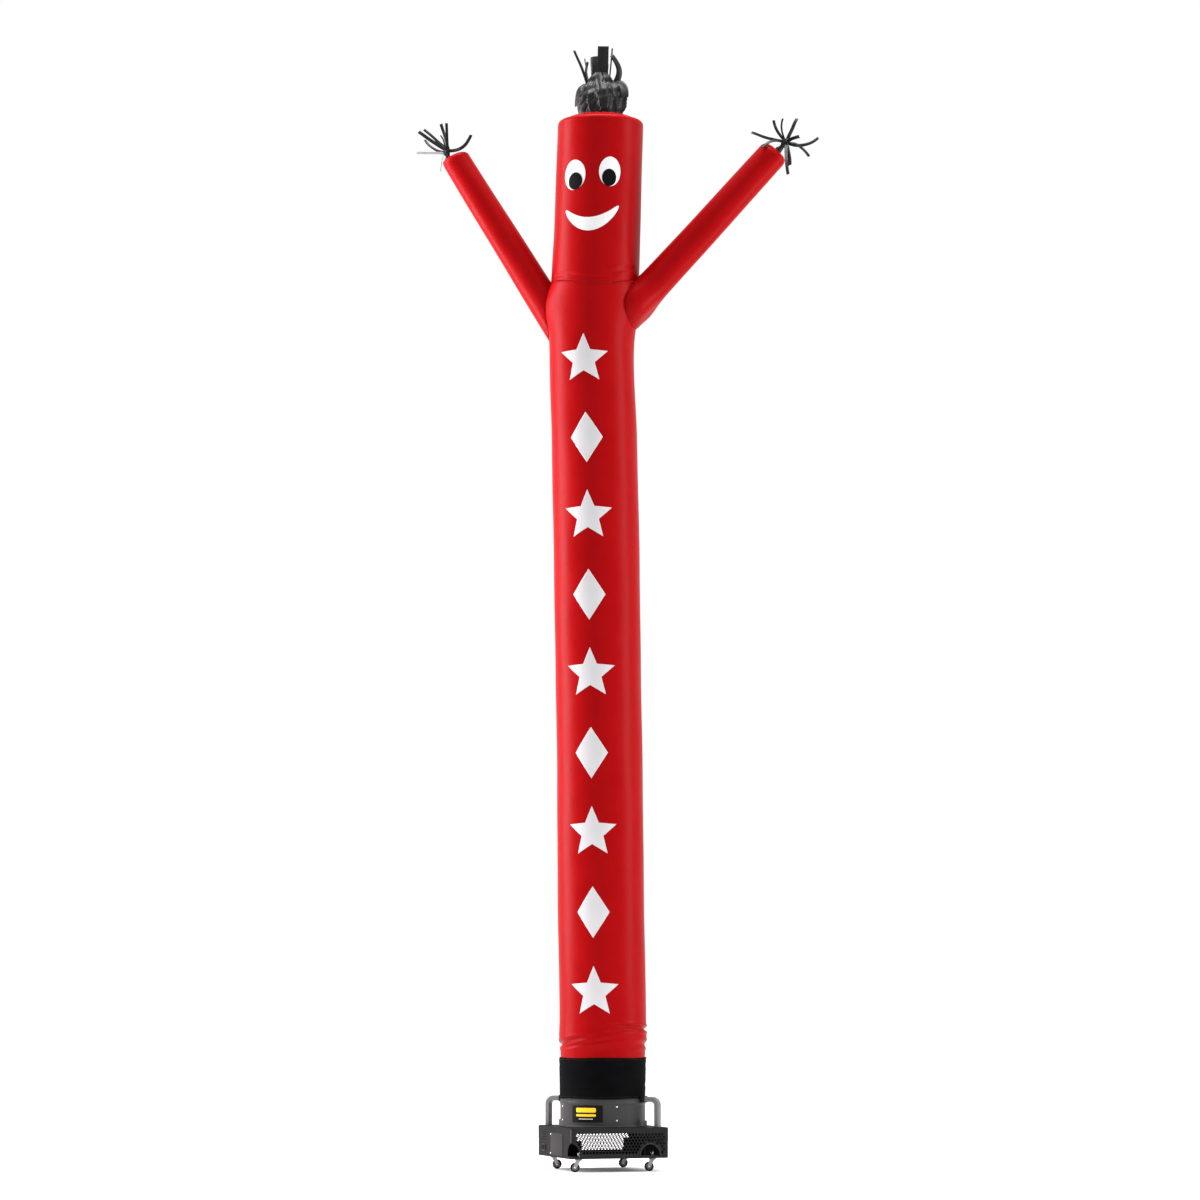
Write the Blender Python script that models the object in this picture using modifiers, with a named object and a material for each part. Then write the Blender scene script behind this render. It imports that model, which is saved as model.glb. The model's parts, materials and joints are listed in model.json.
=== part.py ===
"""Inflatable air dancer on its square blower, in metres, +Z up.

The dancer faces -Y and the floor is z = 0. The blower's axis is the vertical line that everything
is placed from, and one empty shifts it so that the origin lies under the middle of the whole object.
Turns are in degrees about that axis, 0 at the front (-Y) and positive towards +X.
"""

import math
from collections import namedtuple

import bmesh
import bpy
from mathutils import Matrix, Vector

# Cloth
CLOTH = 0.002
GAP = 0.0003
CLOTH_GAP = 0.002
ROUND_STEPS = 32

# The blower's axis stands a little left of the middle of the whole object.
AXIS_X = -0.0845

# Body and head: height, sideways lean of the axis, and radius
Station = namedtuple("Station", "height lean radius")
BODY = (
    Station(0.566, 0.0, 0.2240),
    Station(0.606, 0.0, 0.2240),
    Station(0.650, 0.0, 0.2275),
    Station(0.682, 0.0, 0.2315),
    Station(0.790, 0.0, 0.2300),
    Station(1.024, -0.004, 0.2290),
    Station(1.740, -0.013, 0.2286),
    Station(2.458, -0.021, 0.2290),
    Station(3.180, -0.033, 0.2290),
    Station(3.908, -0.046, 0.2290),
    Station(4.395, -0.061, 0.2285),
    Station(4.560, -0.052, 0.2335),
    Station(4.690, -0.045, 0.2355),
    Station(4.732, -0.042, 0.2315),
)
HEAD = (
    Station(4.7325, -0.042, 0.2310),
    Station(4.775, -0.040, 0.2345),
    Station(5.009, -0.030, 0.2325),
    Station(5.300, -0.021, 0.2305),
    Station(5.575, -0.014, 0.2295),
    Station(5.600, -0.013, 0.2260),
    Station(5.614, -0.013, 0.2130),
    Station(5.628, -0.013, 0.1750),
    Station(5.638, -0.013, 0.1260),
)
HEM_FOLDS_TOP = 0.790
HEM_FOLD_ROWS = 9

# Soft troughs pressed into the red tube over the cuff, each along a line on the surface
Fold = namedtuple("Fold", "turn_from height_from turn_to height_to reach depth")
FOLDS = (
    Fold(-125.0, 0.632, -5.0, 0.704, 0.013, 0.010),
    Fold(-50.0, 0.652, 38.0, 0.696, 0.012, 0.006),
    Fold(12.0, 0.745, 130.0, 0.756, 0.012, 0.011),
    Fold(48.0, 0.694, 135.0, 0.672, 0.012, 0.009),
    Fold(118.0, 0.716, 175.0, 0.660, 0.013, 0.008),
    Fold(-178.0, 0.655, -105.0, 0.708, 0.013, 0.008),
)

# Arms: straight tubes in the XZ plane, from the body's axis to the hand
Arm = namedtuple("Arm", "name root_x root_z tip_x tip_z root_radius wrist_radius hand_shift")
ARMS = (
    Arm("arm_left", -0.050, 4.207, -0.826, 5.455, 0.0960, 0.0745, -0.036),
    Arm("arm_right", -0.050, 4.370, 0.948, 5.421, 0.0930, 0.0790, 0.008),
)
ARM_STEPS = 20
ARM_ROWS = 7
ARM_END = 0.45
ARM_END_ANGLES = (35.0, 65.0)
HAND_HOLE = 0.027
ARM_HOLE_INSET = 0.014
ARM_STOP_BOTTOM = 4.15

# Streamers: each row gives a strip's root from the knot, its tip from the root, how far its middle is
# drawn sideways and upwards, its width, and its turn about its own length in degrees
Strip = namedtuple("Strip", "root_x root_z tip_x tip_y tip_z swing bow width facing")
STRIP = 0.0016
STRIP_ROWS = 5
ROOT_DEPTH = 0.1
LEFT_KNOT = (-0.865, 0.0, 5.479)
LEFT_STRIPS = (
    Strip(-0.002, -0.009, -0.161, -0.020, 0.003, 0.0, 0.004, 0.015, 20.0),
    Strip(0.008, 0.003, -0.172, 0.030, 0.120, 0.0, -0.006, 0.019, -10.0),
    Strip(0.014, 0.008, -0.127, -0.045, 0.112, 0.0, -0.008, 0.017, 35.0),
    Strip(-0.003, -0.001, -0.133, 0.060, 0.086, -0.012, -0.034, 0.016, 10.0),
    Strip(0.010, 0.014, -0.047, 0.025, 0.146, 0.0, 0.0, 0.017, -25.0),
    Strip(0.006, 0.011, 0.001, -0.030, 0.141, 0.0, 0.0, 0.015, 15.0),
    Strip(0.003, 0.003, -0.016, -0.070, 0.073, 0.0, 0.014, 0.008, 40.0),
    Strip(0.012, 0.005, 0.138, -0.055, 0.071, 0.030, -0.050, 0.018, 0.0),
    Strip(-0.007, -0.008, -0.012, -0.030, -0.104, -0.020, 0.0, 0.007, 60.0),
    Strip(-0.001, 0.004, -0.077, 0.070, 0.072, 0.0, 0.020, 0.016, 75.0),
)
RIGHT_KNOT = (0.998, 0.0, 5.461)
RIGHT_STRIPS = (
    Strip(-0.010, 0.004, -0.172, -0.030, 0.049, 0.0, -0.012, 0.017, 5.0),
    Strip(-0.009, -0.003, -0.107, -0.075, -0.037, 0.0, 0.044, 0.018, 30.0),
    Strip(-0.007, 0.010, -0.062, 0.020, 0.117, -0.024, 0.0, 0.015, -15.0),
    Strip(-0.002, 0.008, -0.009, -0.035, 0.114, -0.026, 0.0, 0.010, 20.0),
    Strip(0.004, 0.009, 0.052, 0.030, 0.124, 0.0, 0.0, 0.020, 0.0),
    Strip(0.008, 0.002, 0.072, -0.060, 0.010, 0.0, 0.012, 0.020, 45.0),
    Strip(0.009, -0.004, 0.165, 0.010, 0.024, 0.0, -0.050, 0.018, 10.0),
    Strip(0.011, -0.008, 0.118, -0.030, -0.082, 0.0, 0.050, 0.015, -20.0),
    Strip(0.006, -0.011, 0.023, -0.120, -0.188, -0.012, 0.050, 0.018, 0.0),
    Strip(-0.001, -0.010, 0.032, -0.085, -0.133, 0.010, 0.040, 0.024, 35.0),
)
HAIR_TOP = (-0.011, 0.0, 5.847)
HAIR_STRIPS = (
    Strip(0.011, -0.018, 0.011, -0.030, 0.189, 0.0, 0.0, 0.060, 0.0),
    Strip(-0.024, -0.020, -0.013, 0.012, 0.149, 0.0, 0.0, 0.052, -8.0),
    Strip(-0.068, -0.047, -0.074, -0.020, 0.204, 0.010, 0.0, 0.015, 10.0),
    Strip(-0.058, -0.040, -0.018, -0.045, 0.144, -0.010, 0.0, 0.008, -30.0),
    Strip(-0.061, -0.050, -0.017, 0.030, 0.153, -0.030, 0.0, 0.014, 25.0),
    Strip(0.044, -0.039, 0.013, 0.035, 0.214, 0.0, 0.0, 0.008, 20.0),
    Strip(0.062, -0.053, 0.001, -0.020, 0.174, 0.085, 0.0, 0.036, 25.0),
    Strip(0.042, -0.042, 0.101, -0.055, -0.081, 0.050, 0.080, 0.044, -35.0),
    Strip(0.014, -0.024, -0.008, 0.085, 0.128, 0.0, 0.0, 0.040, 15.0),
    Strip(-0.029, -0.023, -0.028, 0.075, 0.116, 0.0, 0.0, 0.034, -40.0),
    Strip(-0.052, -0.044, -0.063, -0.055, -0.110, -0.050, 0.070, 0.046, 15.0),
)
# Gathered neck of the hair: height, sideways shift, radius and depth of its pleats
Ring = namedtuple("Ring", "height shift radius pleat")
HAIR_NECK = (
    Ring(5.590, -0.012, 0.140, 0.000),
    Ring(5.614, -0.012, 0.117, 0.002),
    Ring(5.645, -0.011, 0.117, 0.003),
    Ring(5.672, -0.008, 0.124, 0.010),
    Ring(5.730, -0.002, 0.128, 0.015),
    Ring(5.785, -0.002, 0.104, 0.014),
    Ring(5.819, -0.010, 0.074, 0.010),
    Ring(5.850, -0.011, 0.060, 0.006),
    Ring(5.880, -0.011, 0.045, 0.003),
)
HAIR_STEPS = 20
HAIR_PLEATS = 6
HAIR_PLEAT_DRIFT = 9.0
# Stem of a hand's streamers, from inside the arm past the knot
Section = namedtuple("Section", "share radius")
STEM = (
    Section(0.0, 0.022),
    Section(0.28, 0.019),
    Section(0.60, 0.012),
    Section(0.88, 0.020),
    Section(1.10, 0.020),
    Section(1.28, 0.010),
)
STEM_STEPS = 8
STEM_ROOT = 0.016

# Face, cut flat and wrapped round the head
Eye = namedtuple("Eye", "side turn height size pupil_size pupil_shift pupil_drop")
APPLIQUE = 0.001
APPLIQUE_GAP = 0.001
WRAP_STEP = 7.0
EYES = (
    Eye("left", -23.3, 5.285, (0.132, 0.163), (0.086, 0.094), 0.006, 0.034),
    Eye("right", 26.0, 5.298, (0.119, 0.160), (0.078, 0.094), -0.004, 0.033),
)
OVAL_POINTS = 16
SMILE_TURN = 1.7
SMILE_HEIGHT = 5.102
SMILE_WIDTH = 0.304
SMILE_SAG = 0.051
SMILE_MIDDLE = 0.072
SMILE_END = 0.018
SMILE_FULLNESS = 0.8
SMILE_TAPER = 0.97
SMILE_TILT = 0.06
SMILE_POINTS = 9

# Plain trim in place of the photograph's lettering
MOTIFS = 9
MOTIF_LOWEST = 0.935
MOTIF_HIGHEST = 4.290
STAR_RADIUS = 0.138
STAR_WAIST = 0.45
LOZENGE_SIZE = (0.176, 0.270)

# Cuff that grips the blower's ring, and its closing flap
CUFF_BOTTOM = 0.378
CUFF_TOP = 0.592
CUFF_RADII = (0.2248, 0.2268, 0.2290)
FLAP_TURN = -84.0
FLAP_SIZE = (0.075, 0.200)

# Blower
BLOWER_TURN = 30.0
CASE = 0.540
CASE_BOTTOM = 0.070
CASE_TOP = 0.230
SHEET = 0.0025
BOTTOM_FLANGE = 0.100
RING_OUTER = 0.2245
RING_INNER = 0.2165
RING_SPIGOT = 0.2203
RING_SHOULDER = 0.374
RING_TOP = 0.430
RING_BEAD = 0.0020
RING_LIP = 0.0060
LABEL_TURN = -11.6
LABEL_SIZE = (0.180, 0.090)
LABEL_HEIGHT = 0.301
LABEL = 0.0015

# Perforated panels: diamond holes in staggered rows, clear of the arches
HOLE_PITCH = 0.036
HOLE_ROW = 0.0270
HOLE_ROWS = 4
HOLE_LOWEST = 0.1065
HOLE_SIZE = (0.0225, 0.0280)
HOLES_FROM = -0.222
HOLES_TO = 0.245
ARCH_X = 0.170
ARCH_SIZE = (0.053, 0.058)
ARCH_SILL = 0.085
CORNER_ARCH = (0.036, 0.066)
CORNER_CUT = 0.09
ARCH_STEPS = 20
ARCH_CLEAR = 0.008

# Control side
COVER_SIZE = (0.200, 0.116)
COVER_CENTRE = (-0.041, 0.140)
SOCKET_SIZE = (0.056, 0.040)
SOCKET_CENTRE = (0.170, 0.116)
PLATE = 0.002

# Handles on two corners
HANDLE_REACH = 0.332
HANDLE_TOP = 0.386
HANDLE_BAR = 0.025
HANDLE_DEPTH = 0.038
HANDLE_BEND = 0.044
CLAMP_LENGTH = 0.026
CLAMP_SIZE = (0.046, 0.034)
LUG_REACH = 0.247
LUG_WIDTH = 0.018
LUG_HEIGHT = 0.034
LUG_PLATE = 0.014
CORNER_TURNS = (45.0, 225.0)

# Casters
CASTER_INSET = 0.065
WHEEL_RADIUS = 0.025
WHEEL_WIDTH = 0.018
WHEEL_STEPS = 16
WHEEL_BORE = 0.0037
WHEEL_HUB = 0.014
WHEEL_BOSS = 0.002
WHEEL_EDGE = 0.003
AXLE_RADIUS = 0.0030
TRAIL = 0.018
Corner = namedtuple("Corner", "place side depth trail_turn")
CORNERS = (
    Corner("front_left", -1, -1, 191.0),
    Corner("front_right", 1, -1, 191.0),
    Corner("back_right", 1, 1, 191.0),
    Corner("back_left", -1, 1, 11.0),
)
FORK_GAP = 0.0125
FORK_PLATE = 0.002
FORK_BOSS = 0.008
BEARING_RADIUS = 0.017
BEARING_BOTTOM = 0.0620
NUT_RADIUS = 0.010
NUT_HEIGHT = 0.034

COLOURS = {
    "red_ripstop": ((0.50, 0.004, 0.010), 0.42, 0.0),
    "white_cloth": ((0.80, 0.80, 0.80), 0.5, 0.0),
    "black_cloth": ((0.012, 0.012, 0.013), 0.55, 0.0),
    "cuff_cloth": ((0.006, 0.006, 0.006), 0.85, 0.0),
    "grey_enamel": ((0.10, 0.10, 0.10), 0.38, 0.5),
    "dark_enamel": ((0.035, 0.035, 0.035), 0.45, 0.4),
    "handle_enamel": ((0.20, 0.20, 0.20), 0.35, 0.5),
    "black_plastic": ((0.015, 0.015, 0.015), 0.4, 0.0),
    "zinc": ((0.62, 0.62, 0.62), 0.28, 1.0),
    "wheel_rubber": ((0.02, 0.02, 0.02), 0.6, 0.0),
}


def clear_scene():
    """Removes everything that the startup scene holds."""
    for obj in list(bpy.data.objects):
        bpy.data.objects.remove(obj, do_unlink=True)


def make_material(name):
    """A Principled BSDF with the colour, roughness and metallic value of one finish."""
    colour, roughness, metallic = COLOURS[name]
    material = bpy.data.materials.new(name)
    material.use_nodes = True
    shader = material.node_tree.nodes["Principled BSDF"]
    shader.inputs["Base Color"].default_value = (*colour, 1.0)
    shader.inputs["Roughness"].default_value = roughness
    shader.inputs["Metallic"].default_value = metallic
    material.diffuse_color = (*colour, 1.0)
    return material


class Workshop:
    """Holds the collections, the two placing empties and the finishes."""

    def __init__(self):
        scene = bpy.context.scene.collection
        self.parts = bpy.data.collections.new("air_dancer")
        self.cutters = bpy.data.collections.new("cutters")
        scene.children.link(self.parts)
        scene.children.link(self.cutters)
        self.materials = {name: make_material(name) for name in COLOURS}
        self.axis = self.add_empty("dancer_axis", None)
        self.axis.location = (AXIS_X, 0.0, 0.0)
        self.blower = self.add_empty("blower_axis", self.axis)
        self.blower.rotation_euler.z = math.radians(BLOWER_TURN)

    def add_empty(self, name, parent):
        """An empty that pieces are parented to."""
        empty = bpy.data.objects.new(name, None)
        self.parts.objects.link(empty)
        empty.parent = parent
        return empty

    def add(self, name, mesh, material, parent=None):
        """A visible piece with its finish."""
        obj = bpy.data.objects.new(name, mesh)
        self.parts.objects.link(obj)
        obj.parent = parent or self.axis
        if not mesh.materials:
            mesh.materials.append(self.materials[material])
        mesh.shade_smooth()
        mesh.set_sharp_from_angle(angle=math.radians(35.0))
        return obj

    def add_cutter(self, name, mesh, parent=None):
        """A hidden helper for a Boolean."""
        obj = bpy.data.objects.new(name, mesh)
        self.cutters.objects.link(obj)
        obj.parent = parent or self.axis
        obj.hide_render = True
        obj.display_type = "WIRE"
        return obj


def solidify(obj, thickness, offset=-1.0):
    """Gives an open surface its thickness, inwards unless told otherwise."""
    modifier = obj.modifiers.new("thickness", "SOLIDIFY")
    modifier.thickness = thickness
    modifier.offset = offset
    modifier.use_even_offset = True


def boolean(obj, other, operation):
    """Cuts the other object from this one, or joins it to this one."""
    modifier = obj.modifiers.new(other.name, "BOOLEAN")
    modifier.operation = operation
    modifier.object = other
    modifier.solver = "EXACT"


def mesh_from(name, build):
    """A mesh that the function build fills through bmesh."""
    mesh = bpy.data.meshes.new(name)
    work = bmesh.new()
    build(work)
    work.to_mesh(mesh)
    work.free()
    return mesh


def skin(name, rings, closed_ends=False):
    """A tube lofted through rings of equally many points, listed upwards and turning as +X to +Y."""

    def build(work):
        rows = [[work.verts.new(point) for point in ring] for ring in rings]
        count = len(rows[0])
        for low, high in zip(rows, rows[1:]):
            for i in range(count):
                j = (i + 1) % count
                work.faces.new((low[i], low[j], high[j], high[i]))
        if closed_ends:
            work.faces.new(list(reversed(rows[0])))
            work.faces.new(rows[-1])

    return mesh_from(name, build)


def box_mesh(name, size, centre):
    """A box from its size and the place of its middle."""

    def build(work):
        bmesh.ops.create_cube(work, size=1.0)
        bmesh.ops.scale(work, vec=size, verts=work.verts)
        bmesh.ops.translate(work, vec=centre, verts=work.verts)

    return mesh_from(name, build)


def rod_mesh(name, radius, depth, steps, place):
    """A capped cylinder along its own Z, put in place by a matrix."""

    def build(work):
        bmesh.ops.create_cone(
            work, cap_ends=True, segments=steps, radius1=radius, radius2=radius, depth=depth
        )
        bmesh.ops.transform(work, matrix=place, verts=work.verts)

    return mesh_from(name, build)


def plate_mesh(name, outline, depth, place):
    """A flat outline in the XZ plane, given a depth along Y either side of it and put in place."""

    def build(work):
        face = work.faces.new([work.verts.new((x, -depth / 2, z)) for x, z in outline])
        pushed = bmesh.ops.extrude_face_region(work, geom=[face])
        moved = [item for item in pushed["geom"] if isinstance(item, bmesh.types.BMVert)]
        bmesh.ops.translate(work, vec=(0.0, depth, 0.0), verts=moved)
        bmesh.ops.recalc_face_normals(work, faces=work.faces)
        bmesh.ops.transform(work, matrix=place, verts=work.verts)

    return mesh_from(name, build)


def turned(shop, name, profile, steps, material, parent):
    """A ring-shaped piece: a closed profile of (radius, height) points, turned about Z."""

    def build(work):
        corners = [work.verts.new((radius, 0.0, height)) for radius, height in profile]
        for i, corner in enumerate(corners):
            work.edges.new((corner, corners[(i + 1) % len(corners)]))

    obj = shop.add(name, mesh_from(name, build), material, parent)
    modifier = obj.modifiers.new("turn", "SCREW")
    modifier.steps = steps
    modifier.render_steps = steps
    modifier.use_merge_vertices = True
    modifier.merge_threshold = 0.00001
    return obj


def arc(centre_x, centre_z, radius_x, radius_z, start, end, points):
    """Points of an elliptical arc between two angles in degrees."""
    angles = [math.radians(start + (end - start) * i / (points - 1)) for i in range(points)]
    return [(centre_x + radius_x * math.cos(a), centre_z + radius_z * math.sin(a)) for a in angles]


def between(stations, height):
    """Lean and radius at a height, along straight lines between the stations."""
    spans = list(zip(stations, stations[1:]))
    low, high = next((span for span in spans if height <= span[1].height), spans[-1])
    share = (height - low.height) / (high.height - low.height)
    return low.lean + share * (high.lean - low.lean), low.radius + share * (high.radius - low.radius)


def fold_depth(turn, height):
    """How far the troughs press the surface in at a turn and a height."""
    total = 0.0
    for fold in FOLDS:
        share = (turn - fold.turn_from) / (fold.turn_to - fold.turn_from)
        if 0.0 < share < 1.0:
            line = fold.height_from + share * (fold.height_to - fold.height_from)
            fade = math.sin(math.pi * share)
            total += fold.depth * fade * math.exp(-(((height - line) / fold.reach) ** 2))
    return total


def on_tube(stations, turn, height, offset=0.0):
    """The point of the inflated tube at a turn and a height, moved outwards by an offset."""
    lean, radius = between(stations, height)
    reach = radius + offset - fold_depth(turn, height)
    angle = math.radians(turn)
    return Vector((lean + reach * math.sin(angle), -reach * math.cos(angle), height))


def tube_rings(stations, heights, offset=0.0):
    """Rings of the inflated tube at each height."""
    turns = [360.0 * i / ROUND_STEPS - 180.0 for i in range(ROUND_STEPS)]
    return [[on_tube(stations, turn, height, offset) for turn in turns] for height in heights]


def body_heights():
    """The stations' heights, and the close rows that carry the hem's folds."""
    first, last = BODY[1].height, HEM_FOLDS_TOP
    rows = [first + (last - first) * i / HEM_FOLD_ROWS for i in range(HEM_FOLD_ROWS + 1)]
    return [BODY[0].height, *rows, *(s.height for s in BODY if s.height > last)]


def arm_axis(arm):
    """Start, unit direction, sideways unit vector and length of an arm's axis."""
    start = Vector((arm.root_x, 0.0, arm.root_z))
    along = Vector((arm.tip_x, 0.0, arm.tip_z)) - start
    length = along.length
    along.normalize()
    return start, along, Vector((along.z, 0.0, -along.x)), length


def arm_ring(arm, distance, radius, shift=0.0):
    """One ring across an arm, its centre moved sideways by a shift."""
    start, along, side, _ = arm_axis(arm)
    centre = start + distance * along + shift * side
    angles = [2.0 * math.pi * i / ARM_STEPS for i in range(ARM_STEPS)]
    across = Vector((0.0, 1.0, 0.0))
    return [centre + radius * (math.cos(a) * side + math.sin(a) * across) for a in angles]


def arm_rings(arm):
    """A tapering tube that closes over the hand to the hole that the streamers come out of."""
    length = arm_axis(arm)[3]
    rounded = ARM_END * arm.wrist_radius
    rings = []
    for i in range(ARM_ROWS):
        share = i / (ARM_ROWS - 1)
        radius = arm.root_radius + share * (arm.wrist_radius - arm.root_radius)
        rings.append(arm_ring(arm, share * (length - rounded), radius))
    for angle in ARM_END_ANGLES:
        reach = length - rounded * (1.0 - math.sin(math.radians(angle)))
        share = 1.0 - math.cos(math.radians(angle))
        radius = arm.wrist_radius + share * (HAND_HOLE - arm.wrist_radius)
        rings.append(arm_ring(arm, reach, radius, share * arm.hand_shift))
    rings.append(arm_ring(arm, length + 0.002, HAND_HOLE, arm.hand_shift))
    return rings


def build_tube(shop):
    """Body and head, with holes where the arms open into the body."""
    body = shop.add("body", skin("body", tube_rings(BODY, body_heights())), "red_ripstop")
    solidify(body, CLOTH)
    for arm in ARMS:
        length = arm_axis(arm)[3]
        radius = arm.root_radius - CLOTH - ARM_HOLE_INSET
        rings = [arm_ring(arm, 0.0, radius), arm_ring(arm, 0.5 * length, radius)]
        hole = shop.add_cutter(arm.name + "_hole", skin(arm.name + "_hole", rings, True))
        boolean(body, hole, "DIFFERENCE")
    heights = [station.height for station in HEAD]
    head = shop.add("head", skin("head", tube_rings(HEAD, heights)), "red_ripstop")
    solidify(head, CLOTH)


def build_arms(shop):
    """Both arms, each trimmed to the side of the body and head."""
    low = [s.height for s in BODY if s.height > ARM_STOP_BOTTOM]
    high = [s.height for s in HEAD[:4]]
    rings = tube_rings(BODY, [ARM_STOP_BOTTOM, *low], CLOTH_GAP)
    rings += tube_rings(HEAD, [HEAD[0].height + 0.001, *high[1:]], CLOTH_GAP)
    stop = shop.add_cutter("arm_stop", skin("arm_stop", rings, True))
    for arm in ARMS:
        obj = shop.add(arm.name, skin(arm.name, arm_rings(arm)), "red_ripstop")
        solidify(obj, CLOTH)
        boolean(obj, stop, "DIFFERENCE")


def strip_mesh(name, start, strip):
    """A ribbon from its root to its tip, its middle drawn aside, turned about its length."""
    tip = start + Vector((strip.tip_x, strip.tip_y, strip.tip_z))
    middle = (start + tip) / 2.0 + Vector((strip.swing, 0.0, strip.bow))
    facing = Matrix.Rotation(math.radians(strip.facing), 3, tip - start) @ Vector((0.0, -1.0, 0.0))

    def build(work):
        pairs = []
        for i in range(STRIP_ROWS):
            t = i / (STRIP_ROWS - 1)
            centre = (1 - t) ** 2 * start + 2 * t * (1 - t) * middle + t * t * tip
            heading = (1 - t) * (middle - start) + t * (tip - middle)
            across = heading.cross(facing).normalized() * strip.width / 2.0
            pairs.append([work.verts.new(centre - across), work.verts.new(centre + across)])
        for (a, b), (c, d) in zip(pairs, pairs[1:]):
            work.faces.new((a, b, d, c))

    return mesh_from(name, build)


def join_strips(shop, obj, knot, strips):
    """Fuses the ribbons' roots into the knot, each a little to its own side."""
    for i, strip in enumerate(strips):
        name = f"{obj.name}_strip_{i + 1}"
        root = Vector(knot) + Vector((strip.root_x, ROOT_DEPTH * strip.tip_y, strip.root_z))
        ribbon = shop.add_cutter(name, strip_mesh(name, root, strip))
        solidify(ribbon, STRIP, 0.0)
        boolean(obj, ribbon, "UNION")


def build_hand(shop, arm, knot, strips, name):
    """A hand's streamers: a stem from inside the arm to the knot, and the strips."""
    start, along, side, length = arm_axis(arm)
    root = start + (length - STEM_ROOT) * along + arm.hand_shift * side
    reach = Vector(knot) - root
    across = Vector((0.0, 1.0, 0.0))
    flat = across.cross(reach.normalized())
    angles = [2.0 * math.pi * i / STEM_STEPS for i in range(STEM_STEPS)]
    rings = [
        [root + row.share * reach + row.radius * (math.cos(a) * flat + math.sin(a) * across) for a in angles]
        for row in STEM
    ]
    obj = shop.add(name, skin(name, rings, True), "black_cloth")
    join_strips(shop, obj, knot, strips)


def build_hair(shop):
    """The gathered black neck that comes out of the head, with the streamers on it."""
    rings = []
    for row in HAIR_NECK:
        ring = []
        for i in range(HAIR_STEPS):
            a = 2.0 * math.pi * i / HAIR_STEPS
            reach = row.radius + row.pleat * math.cos(HAIR_PLEATS * a + HAIR_PLEAT_DRIFT * row.height)
            ring.append(Vector((row.shift + reach * math.cos(a), reach * math.sin(a), row.height)))
        rings.append(ring)
    obj = shop.add("hair", skin("hair", rings, True), "black_cloth")
    join_strips(shop, obj, HAIR_TOP, HAIR_STRIPS)


def wrap(shop, name, outline, stations, turn, height, material, thickness, gap):
    """A flat outline of (across, up) points wrapped round a tube, a little off its surface."""
    radius = between(stations, height)[1]
    step = math.radians(WRAP_STEP) * radius

    def build(work):
        work.faces.new([work.verts.new((x, z, 0.0)) for x, z in outline])
        reach = max(abs(x) for x, _ in outline)
        count = int(reach / step)
        for i in range(-count, count + 1):
            geometry = work.verts[:] + work.edges[:] + work.faces[:]
            bmesh.ops.bisect_plane(
                work, geom=geometry, plane_co=(i * step, 0.0, 0.0), plane_no=(1.0, 0.0, 0.0)
            )
        bmesh.ops.dissolve_degenerate(work, dist=0.00001, edges=work.edges)
        for vert in work.verts:
            around = turn + math.degrees(vert.co.x / radius)
            vert.co = on_tube(stations, around, height + vert.co.y, gap)

    obj = shop.add(name, mesh_from(name, build), material)
    solidify(obj, thickness, 1.0)
    return obj


def oval(width, height, points):
    """Points of an ellipse, anticlockwise."""
    angles = [2.0 * math.pi * i / points for i in range(points)]
    return [(width / 2 * math.cos(a), height / 2 * math.sin(a)) for a in angles]


def smile():
    """A crescent under a sagging top edge, full in its middle and blunt at both ends."""
    upper, lower = [], []
    for i in range(SMILE_POINTS):
        t = 2.0 * i / (SMILE_POINTS - 1) - 1.0
        x = t * SMILE_WIDTH / 2
        top = -SMILE_SAG * (1.0 - t * t) + SMILE_TILT * x
        thick = SMILE_END + (SMILE_MIDDLE - SMILE_END) * (1.0 - t * t) ** SMILE_FULLNESS
        upper.append((x, top))
        lower.append((x * SMILE_TAPER, top - thick))
    return lower + upper[::-1]


def star():
    """A five-pointed star."""
    points = []
    for i in range(10):
        radius = STAR_RADIUS * (1.0 if i % 2 == 0 else STAR_WAIST)
        angle = math.radians(90.0 + 36.0 * i)
        points.append((radius * math.cos(angle), radius * math.sin(angle)))
    return points


def lozenge():
    """An upright lozenge."""
    half_width, half_height = LOZENGE_SIZE[0] / 2, LOZENGE_SIZE[1] / 2
    return [(half_width, 0.0), (0.0, half_height), (-half_width, 0.0), (0.0, -half_height)]


def build_face(shop):
    """Eyes, pupils and smile."""
    over = APPLIQUE_GAP + APPLIQUE + APPLIQUE_GAP
    for eye in EYES:
        white, dark = oval(*eye.size, OVAL_POINTS), oval(*eye.pupil_size, OVAL_POINTS)
        dark = [(x + eye.pupil_shift, z - eye.pupil_drop) for x, z in dark]
        place = (HEAD, eye.turn, eye.height)
        wrap(shop, "eye_" + eye.side, white, *place, "white_cloth", APPLIQUE, APPLIQUE_GAP)
        wrap(shop, "pupil_" + eye.side, dark, *place, "black_cloth", APPLIQUE, over)
    wrap(shop, "smile", smile(), HEAD, SMILE_TURN, SMILE_HEIGHT, "white_cloth", APPLIQUE, APPLIQUE_GAP)


def build_motifs(shop):
    """A column of plain stars and lozenges up the front."""
    for i in range(MOTIFS):
        height = MOTIF_HIGHEST - i * (MOTIF_HIGHEST - MOTIF_LOWEST) / (MOTIFS - 1)
        outline = star() if i % 2 == 0 else lozenge()
        name = f"motif_{i + 1}"
        wrap(shop, name, outline, BODY, 0.0, height, "white_cloth", APPLIQUE, APPLIQUE_GAP)


def cuff_stations():
    """The cuff's outer surface, from its bottom edge to its top edge."""
    middle = (CUFF_BOTTOM + CUFF_TOP) / 2
    heights = (CUFF_BOTTOM, middle, CUFF_TOP)
    return [Station(height, 0.0, radius) for height, radius in zip(heights, CUFF_RADII)]


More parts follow.
